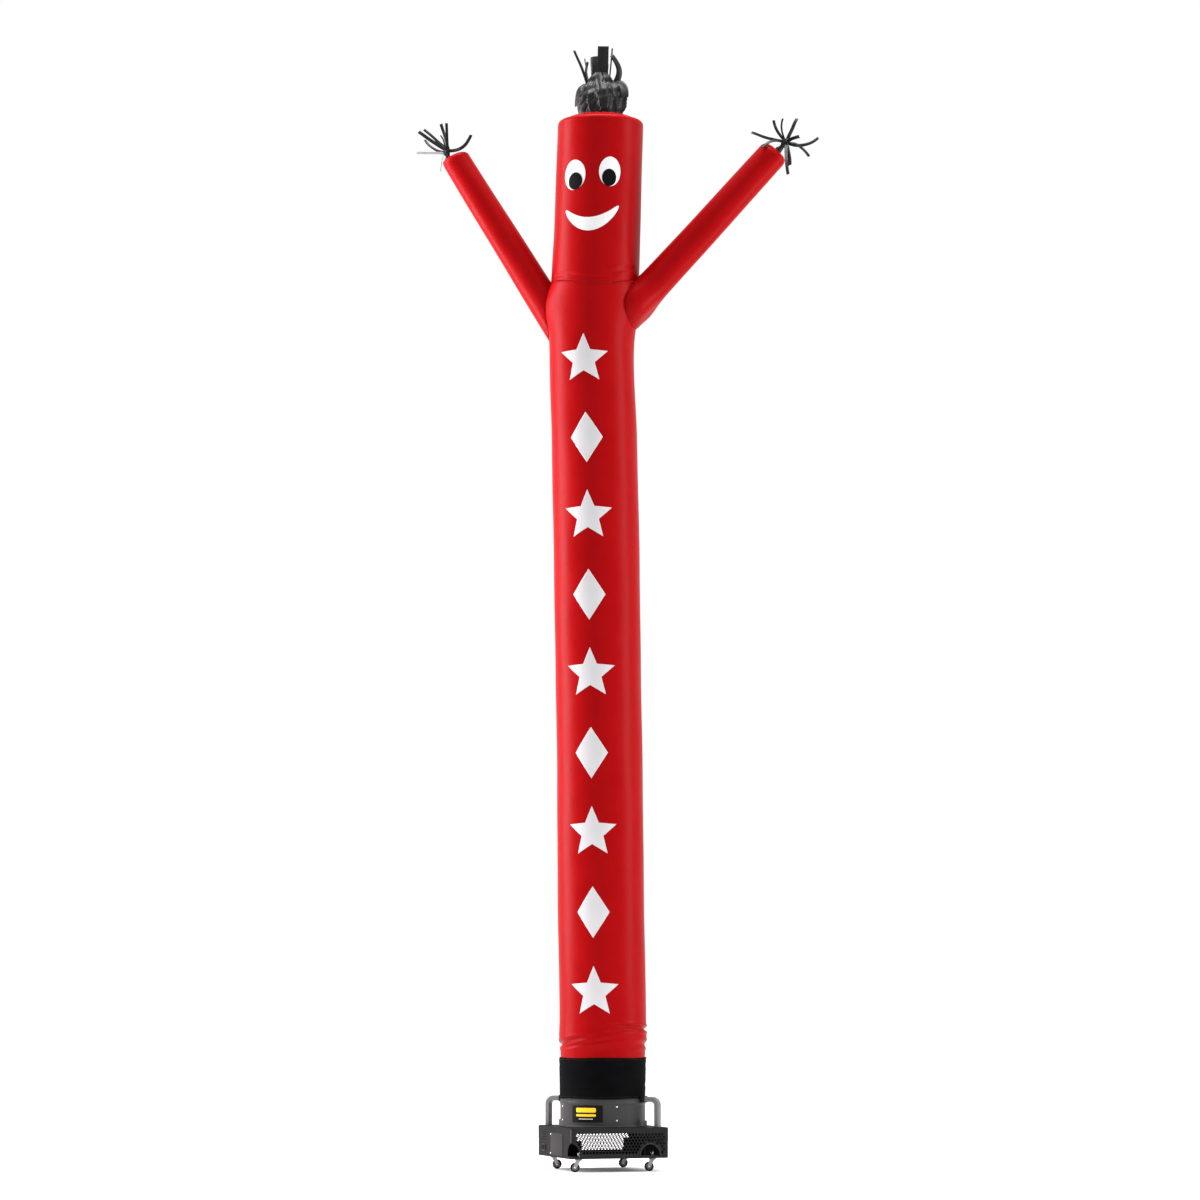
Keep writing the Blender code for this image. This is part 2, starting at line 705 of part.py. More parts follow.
def build_cuff(shop):
    """Black band round the ring and the tube's hem, with its closing flap."""
    stations = cuff_stations()
    heights = [station.height for station in stations]
    cuff = shop.add("cuff", skin("cuff", tube_rings(stations, heights)), "cuff_cloth")
    solidify(cuff, CLOTH)
    half_width, half_height = FLAP_SIZE[0] / 2, FLAP_SIZE[1] / 2
    outline = [
        (-half_width, -half_height),
        (half_width, -half_height),
        (half_width, half_height),
        (-half_width, half_height),
    ]
    middle = (CUFF_BOTTOM + CUFF_TOP) / 2
    wrap(shop, "cuff_flap", outline, stations, FLAP_TURN, middle, "cuff_cloth", CLOTH, APPLIQUE_GAP)


def hole_centres():
    """Centres of the diamond holes on the front panel, as (x, z), clear of both its arches."""
    centres = []
    for row in range(HOLE_ROWS):
        z = HOLE_LOWEST + row * HOLE_ROW
        x = HOLES_FROM + (row % 2) * HOLE_PITCH / 2
        while x <= HOLES_TO:
            across = HOLE_SIZE[0] / 2 + ARCH_CLEAR
            below = z - HOLE_SIZE[1] / 2 - ARCH_CLEAR - ARCH_SILL
            in_arch = abs(x - ARCH_X) < ARCH_SIZE[0] + across and below < ARCH_SIZE[1]
            corner = x + CASE / 2 < CORNER_ARCH[0] * math.sqrt(2.0) + across and below < CORNER_ARCH[1]
            if not in_arch and not corner:
                centres.append((x, z))
            x += HOLE_PITCH
    return centres


def panel_cutter():
    """Diamond prisms through the front panel and, turned half round, through the back panel."""

    def build(work):
        half_width, half_height = HOLE_SIZE[0] / 2, HOLE_SIZE[1] / 2
        for turn in (0.0, math.pi):
            for x, z in hole_centres():
                made = bmesh.ops.create_cone(
                    work, cap_ends=True, segments=4, radius1=1.0, radius2=1.0, depth=4 * SHEET
                )
                place = (
                    Matrix.Rotation(turn, 4, "Z")
                    @ Matrix.Translation((x, -CASE / 2 + SHEET / 2, z))
                    @ Matrix.Rotation(math.pi / 2, 4, "X")
                    @ Matrix.Diagonal((half_width, half_height, 1.0, 1.0))
                )
                bmesh.ops.transform(work, matrix=place, verts=made["verts"])

    return mesh_from("panel_holes", build)


def arch_outline(half_width, height):
    """A half ellipse standing on a straight sill."""
    return arc(0.0, ARCH_SILL, half_width, height, 0.0, 180.0, ARCH_STEPS // 2 + 1)


def build_case(shop):
    """Sheet-metal case: open under the ring and below, perforated front and back, with arches."""
    height = CASE_TOP - CASE_BOTTOM
    middle = (CASE_TOP + CASE_BOTTOM) / 2
    block = box_mesh("case", (CASE, CASE, height), (0, 0, middle))
    case = shop.add("blower_case", block, "dark_enamel", shop.blower)
    inside = CASE - 2 * SHEET
    hollow = box_mesh("case_hollow", (inside, inside, height - 2 * SHEET), (0, 0, middle))
    boolean(case, shop.add_cutter("case_hollow", hollow, shop.blower), "DIFFERENCE")
    opening = CASE - 2 * BOTTOM_FLANGE
    below = box_mesh("case_below", (opening, opening, 4 * SHEET), (0, 0, CASE_BOTTOM))
    boolean(case, shop.add_cutter("case_below", below, shop.blower), "DIFFERENCE")
    place = Matrix.Translation((0, 0, CASE_TOP))
    mouth = rod_mesh("case_mouth", RING_INNER, 4 * SHEET, ROUND_STEPS, place)
    boolean(case, shop.add_cutter("case_mouth", mouth, shop.blower), "DIFFERENCE")
    for i, turn in enumerate((0.0, 180.0)):
        spin = Matrix.Rotation(math.radians(turn), 4, "Z")
        place = spin @ Matrix.Translation((ARCH_X, -CASE / 2, 0.0))
        arch = plate_mesh(f"face_arch_{i + 1}", arch_outline(*ARCH_SIZE), 4 * SHEET, place)
        boolean(case, shop.add_cutter(f"face_arch_{i + 1}", arch, shop.blower), "DIFFERENCE")
    place = Matrix.Translation((-CASE / 2, -CASE / 2, 0.0)) @ Matrix.Rotation(-math.pi / 4, 4, "Z")
    corner = plate_mesh("corner_arch", arch_outline(*CORNER_ARCH), CORNER_CUT, place)
    boolean(case, shop.add_cutter("corner_arch", corner, shop.blower), "DIFFERENCE")
    boolean(case, shop.add_cutter("panel_holes", panel_cutter(), shop.blower), "DIFFERENCE")


def build_ring(shop):
    """Round duct on the case, with a lip below, a bead and a narrower spigot for the cuff."""
    base = CASE_TOP + GAP
    bead_low = RING_SHOULDER - 0.022
    profile = (
        (RING_SPIGOT, RING_TOP),
        (RING_SPIGOT, RING_SHOULDER),
        (RING_OUTER + RING_BEAD, RING_SHOULDER - 0.002),
        (RING_OUTER + RING_BEAD, bead_low),
        (RING_OUTER, bead_low - 0.003),
        (RING_OUTER, base + 0.009),
        (RING_OUTER + RING_LIP, base + 0.005),
        (RING_OUTER + RING_LIP, base),
        (RING_INNER, base),
        (RING_INNER, RING_TOP),
    )
    turned(shop, "blower_ring", profile, ROUND_STEPS, "grey_enamel", shop.blower)
    half_width, half_height = LABEL_SIZE[0] / 2, LABEL_SIZE[1] / 2
    outline = [
        (-half_width, -half_height),
        (half_width, -half_height),
        (half_width, half_height),
        (-half_width, half_height),
    ]
    wall = [Station(base, 0.0, RING_OUTER), Station(RING_TOP, 0.0, RING_OUTER)]
    place = (wall, LABEL_TURN, LABEL_HEIGHT)
    wrap(shop, "label_plate", outline, *place, "black_plastic", LABEL, APPLIQUE_GAP)


def handle_outline():
    """An inverted L with a rounded elbow, from the clamp at the ring down to the case."""
    inner_x = RING_OUTER + RING_BEAD + 2 * GAP + CLAMP_LENGTH
    outer, bar = HANDLE_BEND, HANDLE_BAR
    foot = CASE_TOP + GAP
    centre = (HANDLE_REACH - outer, HANDLE_TOP - outer)
    outside = arc(*centre, outer, outer, 0.0, 90.0, 6)
    inside = arc(*centre, outer - bar, outer - bar, 90.0, 0.0, 5)
    return [
        (HANDLE_REACH, foot),
        *outside,
        (inner_x, HANDLE_TOP),
        (inner_x, HANDLE_TOP - bar),
        *inside,
        (HANDLE_REACH - bar, foot),
    ]


def build_handles(shop):
    """Two carrying handles on opposite corners, each with its clamp and the lug at the ring's foot."""
    for i, turn in enumerate(CORNER_TURNS):
        spin = Matrix.Rotation(math.radians(turn - 90.0), 4, "Z")
        name = f"handle_{i + 1}"
        bar = plate_mesh(name, handle_outline(), HANDLE_DEPTH, spin)
        shop.add(name, bar, "handle_enamel", shop.blower)
        clamp_x = RING_OUTER + RING_BEAD + GAP + CLAMP_LENGTH / 2
        clamp_z = HANDLE_TOP - HANDLE_BAR / 2
        name = f"handle_clamp_{i + 1}"
        size = (CLAMP_LENGTH - 0.002, *CLAMP_SIZE)
        clamp = box_mesh(name, size, (clamp_x, 0.0, clamp_z))
        clamp.transform(spin)
        shop.add(name, clamp, "black_plastic", shop.blower)
        name = f"ring_lug_{i + 1}"
        half, foot = LUG_WIDTH / 2, CASE_TOP + GAP
        round_top = arc(LUG_REACH, foot + LUG_HEIGHT - half, half, half, 0.0, 180.0, 7)
        outline = [(LUG_REACH + half, foot), *round_top, (LUG_REACH - half, foot)]
        shop.add(name, plate_mesh(name, outline, LUG_PLATE, spin), "handle_enamel", shop.blower)


def build_controls(shop):
    """Cover plate and socket block on the case's left side."""
    face_x = -CASE / 2 - GAP - PLATE / 2
    for name, size, centre, material in (
        ("cover_plate", COVER_SIZE, COVER_CENTRE, "grey_enamel"),
        ("socket_block", SOCKET_SIZE, SOCKET_CENTRE, "black_plastic"),
    ):
        plate = box_mesh(name, (PLATE, *size), (face_x, *centre))
        shop.add(name, plate, material, shop.blower)


def baked_mesh(obj, name):
    """The object's evaluated mesh as a new mesh; the object itself is removed."""
    bpy.context.view_layer.update()
    graph = bpy.context.evaluated_depsgraph_get()
    mesh = bpy.data.meshes.new_from_object(obj.evaluated_get(graph))
    mesh.name = name
    bpy.data.objects.remove(obj, do_unlink=True)
    return mesh


def fork_mesh(shop):
    """Caster fork about its swivel axis, trailing towards +X: bearing, two cheeks and the axle."""
    depth = CASE_BOTTOM - GAP - BEARING_BOTTOM
    place = Matrix.Translation((0.0, 0.0, BEARING_BOTTOM + depth / 2))
    fork = shop.add("fork", rod_mesh("fork", BEARING_RADIUS, depth, 14, place), "zinc")
    cheek_top = BEARING_BOTTOM + 0.002
    outline = [
        (-0.013, cheek_top),
        *arc(TRAIL, WHEEL_RADIUS, FORK_BOSS, FORK_BOSS, 195.0, 375.0, 6),
        (0.015, cheek_top),
    ]
    helpers = []
    for side in (-1, 1):
        place = Matrix.Translation((0.0, side * (FORK_GAP + FORK_PLATE / 2), 0.0))
        name = f"cheek_{side}"
        helpers.append(shop.add_cutter(name, plate_mesh(name, outline, FORK_PLATE, place)))
    place = Matrix.Translation((TRAIL, 0.0, WHEEL_RADIUS)) @ Matrix.Rotation(math.pi / 2, 4, "X")
    axle = rod_mesh("axle", AXLE_RADIUS, 2 * (FORK_GAP + FORK_PLATE) + 0.003, 8, place)
    helpers.append(shop.add_cutter("axle", axle))
    for helper in helpers:
        boolean(fork, helper, "UNION")
    mesh = baked_mesh(fork, "caster_fork")
    for helper in helpers:
        bpy.data.objects.remove(helper, do_unlink=True)
    return mesh


def wheel_mesh(shop):
    """Caster wheel about its own Z, with a flat of its round underneath when it stands."""
    outer = WHEEL_RADIUS / math.cos(math.pi / WHEEL_STEPS)
    half, boss = WHEEL_WIDTH / 2, WHEEL_WIDTH / 2 + WHEEL_BOSS
    profile = (
        (outer, half - WHEEL_EDGE),
        (outer, WHEEL_EDGE - half),
        (outer - WHEEL_EDGE, -half),
        (WHEEL_HUB, -half),
        (WHEEL_BORE, -boss),
        (WHEEL_BORE, boss),
        (WHEEL_HUB, half),
        (outer - WHEEL_EDGE, half),
    )
    wheel = turned(shop, "wheel", profile, WHEEL_STEPS, "wheel_rubber", shop.axis)
    wheel.rotation_euler.z = math.pi / WHEEL_STEPS
    return baked_mesh(wheel, "caster_wheel")


def build_casters(shop):
    """Four swivelling casters, each trailing its own way, with the dome nuts that hold them."""
    fork, wheel = fork_mesh(shop), wheel_mesh(shop)
    reach = CASE / 2 - CASTER_INSET
    nut_profile = (
        (0.0005, NUT_HEIGHT),
        (NUT_RADIUS * 0.55, NUT_HEIGHT * 0.85),
        (NUT_RADIUS * 0.85, NUT_HEIGHT * 0.5),
        (NUT_RADIUS, 0.0),
        (0.0005, 0.0),
    )
    for place, side, depth, trail_turn in CORNERS:
        swivel = shop.add_empty("swivel_" + place, shop.blower)
        swivel.location = (side * reach, depth * reach, 0.0)
        swivel.rotation_euler.z = math.radians(trail_turn - BLOWER_TURN)
        shop.add("caster_fork_" + place, fork, "zinc", swivel)
        roller = shop.add("caster_wheel_" + place, wheel, "wheel_rubber", swivel)
        roller.location = (TRAIL, 0.0, WHEEL_RADIUS)
        roller.rotation_euler = (math.pi / 2, math.pi / WHEEL_STEPS, 0.0)
        nut = turned(shop, "caster_nut_" + place, nut_profile, 10, "zinc", shop.blower)
        nut.location = (side * reach, depth * reach, CASE_BOTTOM + SHEET + GAP)


def main():
    """Builds the whole object."""
    clear_scene()
    shop = Workshop()
    build_tube(shop)
    build_arms(shop)
    build_hand(shop, ARMS[0], LEFT_KNOT, LEFT_STRIPS, "hand_left")
    build_hand(shop, ARMS[1], RIGHT_KNOT, RIGHT_STRIPS, "hand_right")
    build_hair(shop)
    build_face(shop)
    build_motifs(shop)
    build_cuff(shop)
    build_case(shop)
    build_ring(shop)
    build_handles(shop)
    build_controls(shop)
    build_casters(shop)


main()
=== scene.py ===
"""Looks of the inflatable air dancer and its square blower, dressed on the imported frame.

Everything is in metres in the frame of the solids: the dancer faces -Y, the floor is z = 0, and turns are
in degrees about the blower's axis, 0 at the front (-Y) and positive towards +X.
"""

import json
import logging
import math
from dataclasses import dataclass, field
from enum import Enum
from typing import Callable, Optional, Sequence

import bpy
import numpy as np
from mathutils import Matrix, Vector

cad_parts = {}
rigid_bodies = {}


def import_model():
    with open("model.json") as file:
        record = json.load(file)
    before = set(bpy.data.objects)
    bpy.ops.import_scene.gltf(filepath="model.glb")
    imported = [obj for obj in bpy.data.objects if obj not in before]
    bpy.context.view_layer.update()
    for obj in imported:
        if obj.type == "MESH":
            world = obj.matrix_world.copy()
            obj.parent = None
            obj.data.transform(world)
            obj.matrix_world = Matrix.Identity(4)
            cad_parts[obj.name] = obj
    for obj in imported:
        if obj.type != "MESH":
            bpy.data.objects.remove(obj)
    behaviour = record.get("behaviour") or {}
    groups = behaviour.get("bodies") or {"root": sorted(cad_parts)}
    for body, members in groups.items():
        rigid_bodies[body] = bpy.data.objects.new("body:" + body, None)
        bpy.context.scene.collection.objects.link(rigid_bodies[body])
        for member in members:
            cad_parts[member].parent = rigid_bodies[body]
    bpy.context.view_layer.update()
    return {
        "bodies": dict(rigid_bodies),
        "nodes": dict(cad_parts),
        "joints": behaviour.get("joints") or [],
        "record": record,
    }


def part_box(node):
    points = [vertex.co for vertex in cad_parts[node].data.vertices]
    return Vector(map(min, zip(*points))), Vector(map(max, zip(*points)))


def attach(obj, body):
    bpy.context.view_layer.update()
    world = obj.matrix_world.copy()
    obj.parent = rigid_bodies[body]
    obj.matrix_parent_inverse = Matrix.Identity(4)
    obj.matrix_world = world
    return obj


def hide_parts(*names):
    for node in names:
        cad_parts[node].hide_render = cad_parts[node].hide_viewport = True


LOG = logging.getLogger("air_dancer")
Array = np.ndarray
Colour = tuple[float, float, float]


class Slot(Enum):
    """The record's material slots."""

    RED = "red_ripstop"
    WHITE = "white_cloth"
    BLACK = "black_cloth"
    CUFF = "cuff_cloth"
    GREY_ENAMEL = "grey_enamel"
    DARK_ENAMEL = "dark_enamel"
    HANDLE = "handle_enamel"
    PLASTIC = "black_plastic"
    ZINC = "zinc"
    RUBBER = "wheel_rubber"


def smooth_between(places: Array, known: Sequence[float], values: Sequence[float]) -> Array:
    """Reads a smooth curve: a cubic on each span, its end slopes the mean of the slopes that meet there.

    Args:
        places: where the curve is read.
        known: rising places of the known points.
        values: the curve's value at each known point.

    Returns:
        The curve's values, in the shape of places.
    """
    x, y = np.asarray(known, float), np.asarray(values, float)
    step = np.diff(y) / np.diff(x)
    slope = np.concatenate([[step[0]], (step[:-1] + step[1:]) / 2, [step[-1]]])
    place = np.clip(places, x[0], x[-1])
    i = np.clip(np.searchsorted(x, place, side="right") - 1, 0, len(x) - 2)
    width = x[i + 1] - x[i]
    t = (place - x[i]) / width
    first = (1 + 2 * t) * (1 - t) ** 2 * y[i] + t * (1 - t) ** 2 * width * slope[i]
    return first + t * t * (3 - 2 * t) * y[i + 1] + t * t * (t - 1) * width * slope[i + 1]


def unit(vectors: Array) -> Array:
    """Vectors scaled to length one along their last axis."""
    return vectors / np.maximum(np.linalg.norm(vectors, axis=-1, keepdims=True), 1e-12)


def turned(vectors: Array, axis: Array, angles: Array) -> Array:
    """Vectors turned about unit axes by angles in radians: v cos a + (k x v) sin a + k (k . v)(1 - cos a)."""
    cos, sin = np.cos(angles)[..., None], np.sin(angles)[..., None]
    along = (vectors * axis).sum(axis=-1, keepdims=True) * axis
    return vectors * cos + np.cross(axis, vectors) * sin + along * (1 - cos)


def add_mesh(name: str, points: Array, faces: Array, flat: Optional[Array] = None) -> bpy.types.Object:
    """Puts points and quads into a new mesh object.

    Args:
        name: the object's name.
        points: (n, 3) places in metres.
        faces: (m, 4) corner numbers, or a list of faces.
        flat: (m, 4, 2) place of each face corner on the flat cloth, in metres, for the UV map.

    Returns:
        The new object, shaded smooth, in the scene.
    """
    mesh = bpy.data.meshes.new(name)
    rows = faces.tolist() if isinstance(faces, np.ndarray) else faces
    mesh.from_pydata(points.reshape(-1, 3).tolist(), [], rows)
    if flat is not None:
        layer = mesh.uv_layers.new(name="cloth")
        layer.data.foreach_set("uv", np.asarray(flat, np.float32).reshape(-1))
    mesh.shade_smooth()
    obj = bpy.data.objects.new(name, mesh)
    bpy.context.scene.collection.objects.link(obj)
    return obj


def grid_faces(rows: int, columns: int, round_columns: bool, round_rows: bool = False) -> Array:
    """Quads of a grid of points, as (rows, columns) cells of four corner numbers each.

    Args:
        rows: rows of points.
        columns: points in a row.
        round_columns: whether each row closes on itself.
        round_rows: whether the last row joins the first.

    Returns:
        (cells down, cells across, 4) corner numbers.
    """
    i = np.arange(rows if round_rows else rows - 1)[:, None]
    j = np.arange(columns if round_columns else columns - 1)[None, :]
    up, over = (i + 1) % rows, (j + 1) % columns
    corners = [i * columns + j, i * columns + over, up * columns + over, up * columns + j]
    return np.stack(np.broadcast_arrays(*corners), axis=-1)


def cell_places(lengths: Array, widths: Array) -> Array:
    """Flat place of each grid cell's corners, from the row and column edges' places on the cloth."""
    low, left = lengths[:-1, None], widths[None, :-1]
    high, right = lengths[1:, None], widths[None, 1:]
    corners = [(left, low), (right, low), (right, high), (left, high)]
    return np.stack([np.stack(np.broadcast_arrays(*c), axis=-1) for c in corners], axis=-2)


def add_surface(
    name: str,
    points: Array,
    across: Optional[Array] = None,
    along: Optional[Array] = None,
    round_columns: bool = True,
    round_rows: bool = False,
    capped: bool = False,
) -> bpy.types.Object:
    """Makes a surface from a grid of points (rows, columns, 3).

    Args:
        name: the object's name.
        points: the grid, whose rows go up and whose columns go round as +X turns to +Y.
        across: places of the column edges on the flat cloth, one more than columns where it is round.
        along: places of the row edges on the flat cloth.
        round_columns: whether each row closes on itself.
        round_rows: whether the last row joins the first.
        capped: whether a face closes each end of a round surface.

    Returns:
        The new object.
    """
    rows, columns = points.shape[:2]
    cells = grid_faces(rows, columns, round_columns, round_rows)
    flat = None if across is None or capped else cell_places(along, across).reshape(-1, 4, 2)
    faces: object = cells.reshape(-1, 4)
    if capped:
        first = list(range(columns - 1, -1, -1))
        last = list(range((rows - 1) * columns, rows * columns))
        faces = cells.reshape(-1, 4).tolist() + [first, last]
    return add_mesh(name, points, faces, flat)


def add_modifier(obj: bpy.types.Object, kind: str, **values: object) -> None:
    """Adds a modifier and sets its values."""
    modifier = obj.modifiers.new(kind.lower(), kind)
    for name, value in values.items():
        setattr(modifier, name, value)


def thicken(obj: bpy.types.Object, thickness: float, offset: float = -1.0) -> None:
    """Gives an open surface its thickness, inwards unless told otherwise."""
    add_modifier(obj, "SOLIDIFY", thickness=thickness, offset=offset, use_even_offset=True)


def bake(obj: bpy.types.Object) -> bpy.types.Object:
    """Applies an object's modifiers, so that its mesh holds the finished shape."""
    bpy.context.view_layer.update()
    graph = bpy.context.evaluated_depsgraph_get()
    mesh = bpy.data.meshes.new_from_object(obj.evaluated_get(graph))
    obj.modifiers.clear()
    obj.data = mesh
    return obj


def sharpen(obj: bpy.types.Object, angle: float = 32.0) -> None:
    """Keeps edges sharper than an angle in degrees unsmoothed."""
    obj.data.set_sharp_from_angle(angle=math.radians(angle))


class Shader:
    """A material under construction: a Principled BSDF and the nodes that feed it."""

    def __init__(self, name: str) -> None:
        """Starts a material with a Principled BSDF."""
        self.material = bpy.data.materials.new(name)
        self.material.use_nodes = True
        self.tree = self.material.node_tree
        self.principled = self.tree.nodes["Principled BSDF"]

    def set(self, **values: object) -> None:
        """Sets the shader's own sockets; an underscore stands for a space."""
        for name, value in values.items():
            self.principled.inputs[name.replace("_", " ")].default_value = value

    def node(self, kind: str, **values: object) -> bpy.types.Node:
        """Adds a node and sets its properties."""
        made = self.tree.nodes.new(kind)
        for name, value in values.items():
            setattr(made, name, value)
        return made

    def link(self, source: object, target: object) -> None:
        """Joins an output socket to an input socket, or sets the input where the source is a number."""
        if isinstance(source, bpy.types.NodeSocket):
            self.tree.links.new(source, target)
        else:
            target.default_value = source

    def math(self, operation: str, first: object, second: object = 0.0) -> object:
        """The result of a Math node."""
        made = self.node("ShaderNodeMath", operation=operation)
        self.link(first, made.inputs[0])
        self.link(second, made.inputs[1])
        return made.outputs[0]

    def places(self, from_flat_cloth: bool) -> object:
        """Places in metres, on the flat cloth or in the object's own space."""
        made = self.node("ShaderNodeTexCoord")
        return made.outputs["UV" if from_flat_cloth else "Object"]

    def noise(self, places: object, scale: float, detail: float = 3.0, roughness: float = 0.5) -> object:
        """Soft random values from 0 to 1."""
        made = self.node("ShaderNodeTexNoise")
        self.link(places, made.inputs["Vector"])
        made.inputs["Scale"].default_value = scale
        made.inputs["Detail"].default_value = detail
        made.inputs["Roughness"].default_value = roughness
        return made.outputs["Fac"]

    def ribs(self, places: object, direction: str, pitch: float) -> object:
        """Even waves from 0 to 1 with a pitch in metres along one direction."""
        made = self.node("ShaderNodeTexWave", wave_type="BANDS", bands_direction=direction)
        self.link(places, made.inputs["Vector"])
        made.inputs["Scale"].default_value = math.pi / (10.0 * pitch)
        return made.outputs["Fac"]

    def ramp(self, value: object, low: float, high: float, to_low: float, to_high: float) -> object:
        """A value carried from one range to another and held at its ends."""
        made = self.node("ShaderNodeMapRange")
        self.link(value, made.inputs["Value"])
        for name, number in (
            ("From Min", low),
            ("From Max", high),
            ("To Min", to_low),
            ("To Max", to_high),
        ):
            made.inputs[name].default_value = number
        return made.outputs["Result"]

    def tint(self, value: object, dark: Colour, light: Colour) -> object:
        """A colour between two, by a value from 0 to 1."""
        made = self.node("ShaderNodeMix", data_type="RGBA")
        self.link(value, made.inputs[0])
        made.inputs[6].default_value = (*dark, 1.0)
        made.inputs[7].default_value = (*light, 1.0)
        return made.outputs[2]

    def bump(self, height: object, distance: float, strength: float = 1.0, below: object = None) -> object:
        """A bumped normal from heights, over another one if given."""
        made = self.node("ShaderNodeBump")
        self.link(height, made.inputs["Height"])
        made.inputs["Distance"].default_value = distance
        made.inputs["Strength"].default_value = strength
        if below is not None:
            self.link(below, made.inputs["Normal"])
        return made.outputs["Normal"]


@dataclass(frozen=True)
class Ripstop:
    """Light woven nylon: a fine weave, a raised square grid of thicker threads and soft unevenness."""

    name: str
    dark: Colour
    light: Colour
    roughness: float = 0.40
    gloss: float = 0.2
    sheen: float = 0.0
    grid: float = 0.005
    weave: float = 0.0006
    crinkle: float = 0.0012
    coat: float = 0.0

    def material(self) -> bpy.types.Material:
        """Builds the material on the piece's flat-cloth map."""
        shader = Shader(self.name)
        flat = shader.places(True)
        tone = shader.noise(flat, 6.0, 4.0, 0.6)
        fine = shader.noise(flat, 240.0, 2.0)
        blend = shader.math("ADD", shader.math("MULTIPLY", tone, 0.75), shader.math("MULTIPLY", fine, 0.25))
        shader.link(
            shader.tint(shader.ramp(blend, 0.3, 0.7, 0.0, 1.0), self.dark, self.light),
            shader.principled.inputs["Base Color"],
        )
        rough = shader.ramp(tone, 0.3, 0.7, self.roughness - 0.04, self.roughness + 0.05)
        shader.link(rough, shader.principled.inputs["Roughness"])
        shader.set(Specular_IOR_Level=self.gloss, Sheen_Weight=self.sheen, Sheen_Roughness=0.4)
        shader.set(Coat_Weight=self.coat, Coat_Roughness=0.25)
        crinkles = shader.noise(flat, 26.0, 3.0, 0.55)
        normal = shader.bump(crinkles, self.crinkle, 0.5)
        squares = [shader.ribs(flat, direction, self.grid) for direction in ("X", "Y")]
        ridges = shader.math("MAXIMUM", *(shader.ramp(s, 0.9, 1.0, 0.0, 1.0) for s in squares))
        normal = shader.bump(ridges, 0.00006, 0.5, normal)
        threads = [shader.ribs(flat, direction, self.weave) for direction in ("X", "Y")]
        normal = shader.bump(shader.math("MULTIPLY", *threads), 0.00003, 0.35, normal)
        shader.link(normal, shader.principled.inputs["Normal"])
        return shader.material


@dataclass(frozen=True)
class Pile:
    """Thick dull webbing: close ribs across the band and a faint fuzz."""

    name: str
    dark: Colour
    light: Colour
    roughness: float = 0.85
    rib: float = 0.0022

    def material(self) -> bpy.types.Material:
        """Builds the material on the piece's flat-cloth map."""
        shader = Shader(self.name)
        flat = shader.places(True)
        fuzz = shader.noise(flat, 320.0, 3.0, 0.7)
        patches = shader.noise(flat, 9.0, 3.0)
        mixed = shader.math("MULTIPLY", fuzz, patches)
        shader.link(
            shader.tint(shader.ramp(mixed, 0.1, 0.5, 0.0, 1.0), self.dark, self.light),
            shader.principled.inputs["Base Color"],
        )
        shader.set(Roughness=self.roughness, Specular_IOR_Level=0.03, Sheen_Weight=0.0)
        ribs = shader.ribs(flat, "Y", self.rib)
        normal = shader.bump(fuzz, 0.0004, 0.6, shader.bump(ribs, 0.0002, 0.6))
        shader.link(normal, shader.principled.inputs["Normal"])
        return shader.material


@dataclass(frozen=True)
class Enamel:
    """Sprayed metal or moulded plastic: fine orange peel, faint dust, and wear that lightens it."""

    name: str
    colour: Colour
    worn: Colour
    roughness: float = 0.38
    metallic: float = 0.0
    gloss: float = 0.4
    coat: float = 0.0
    peel: float = 0.00012
    grain: float = 260.0

    def material(self) -> bpy.types.Material:
        """Builds the material in the object's own space."""
        shader = Shader(self.name)
        places = shader.places(False)
        smudges = shader.noise(places, 9.0, 5.0, 0.62)
        specks = shader.noise(places, 70.0, 4.0, 0.7)
        wear = shader.math(
            "MULTIPLY", shader.ramp(smudges, 0.45, 0.75, 0.0, 1.0), shader.ramp(specks, 0.5, 0.72, 0.0, 1.0)
        )
        shader.link(shader.tint(wear, self.colour, self.worn), shader.principled.inputs["Base Color"])
        rough = shader.ramp(smudges, 0.3, 0.75, self.roughness - 0.05, self.roughness + 0.10)
        shader.link(rough, shader.principled.inputs["Roughness"])
        shader.set(
            Metallic=self.metallic, Specular_IOR_Level=self.gloss, Coat_Weight=self.coat, Coat_Roughness=0.12
        )
        normal = shader.bump(shader.noise(places, self.grain, 2.0), self.peel, 0.5)
        shader.link(normal, shader.principled.inputs["Normal"])
        return shader.material


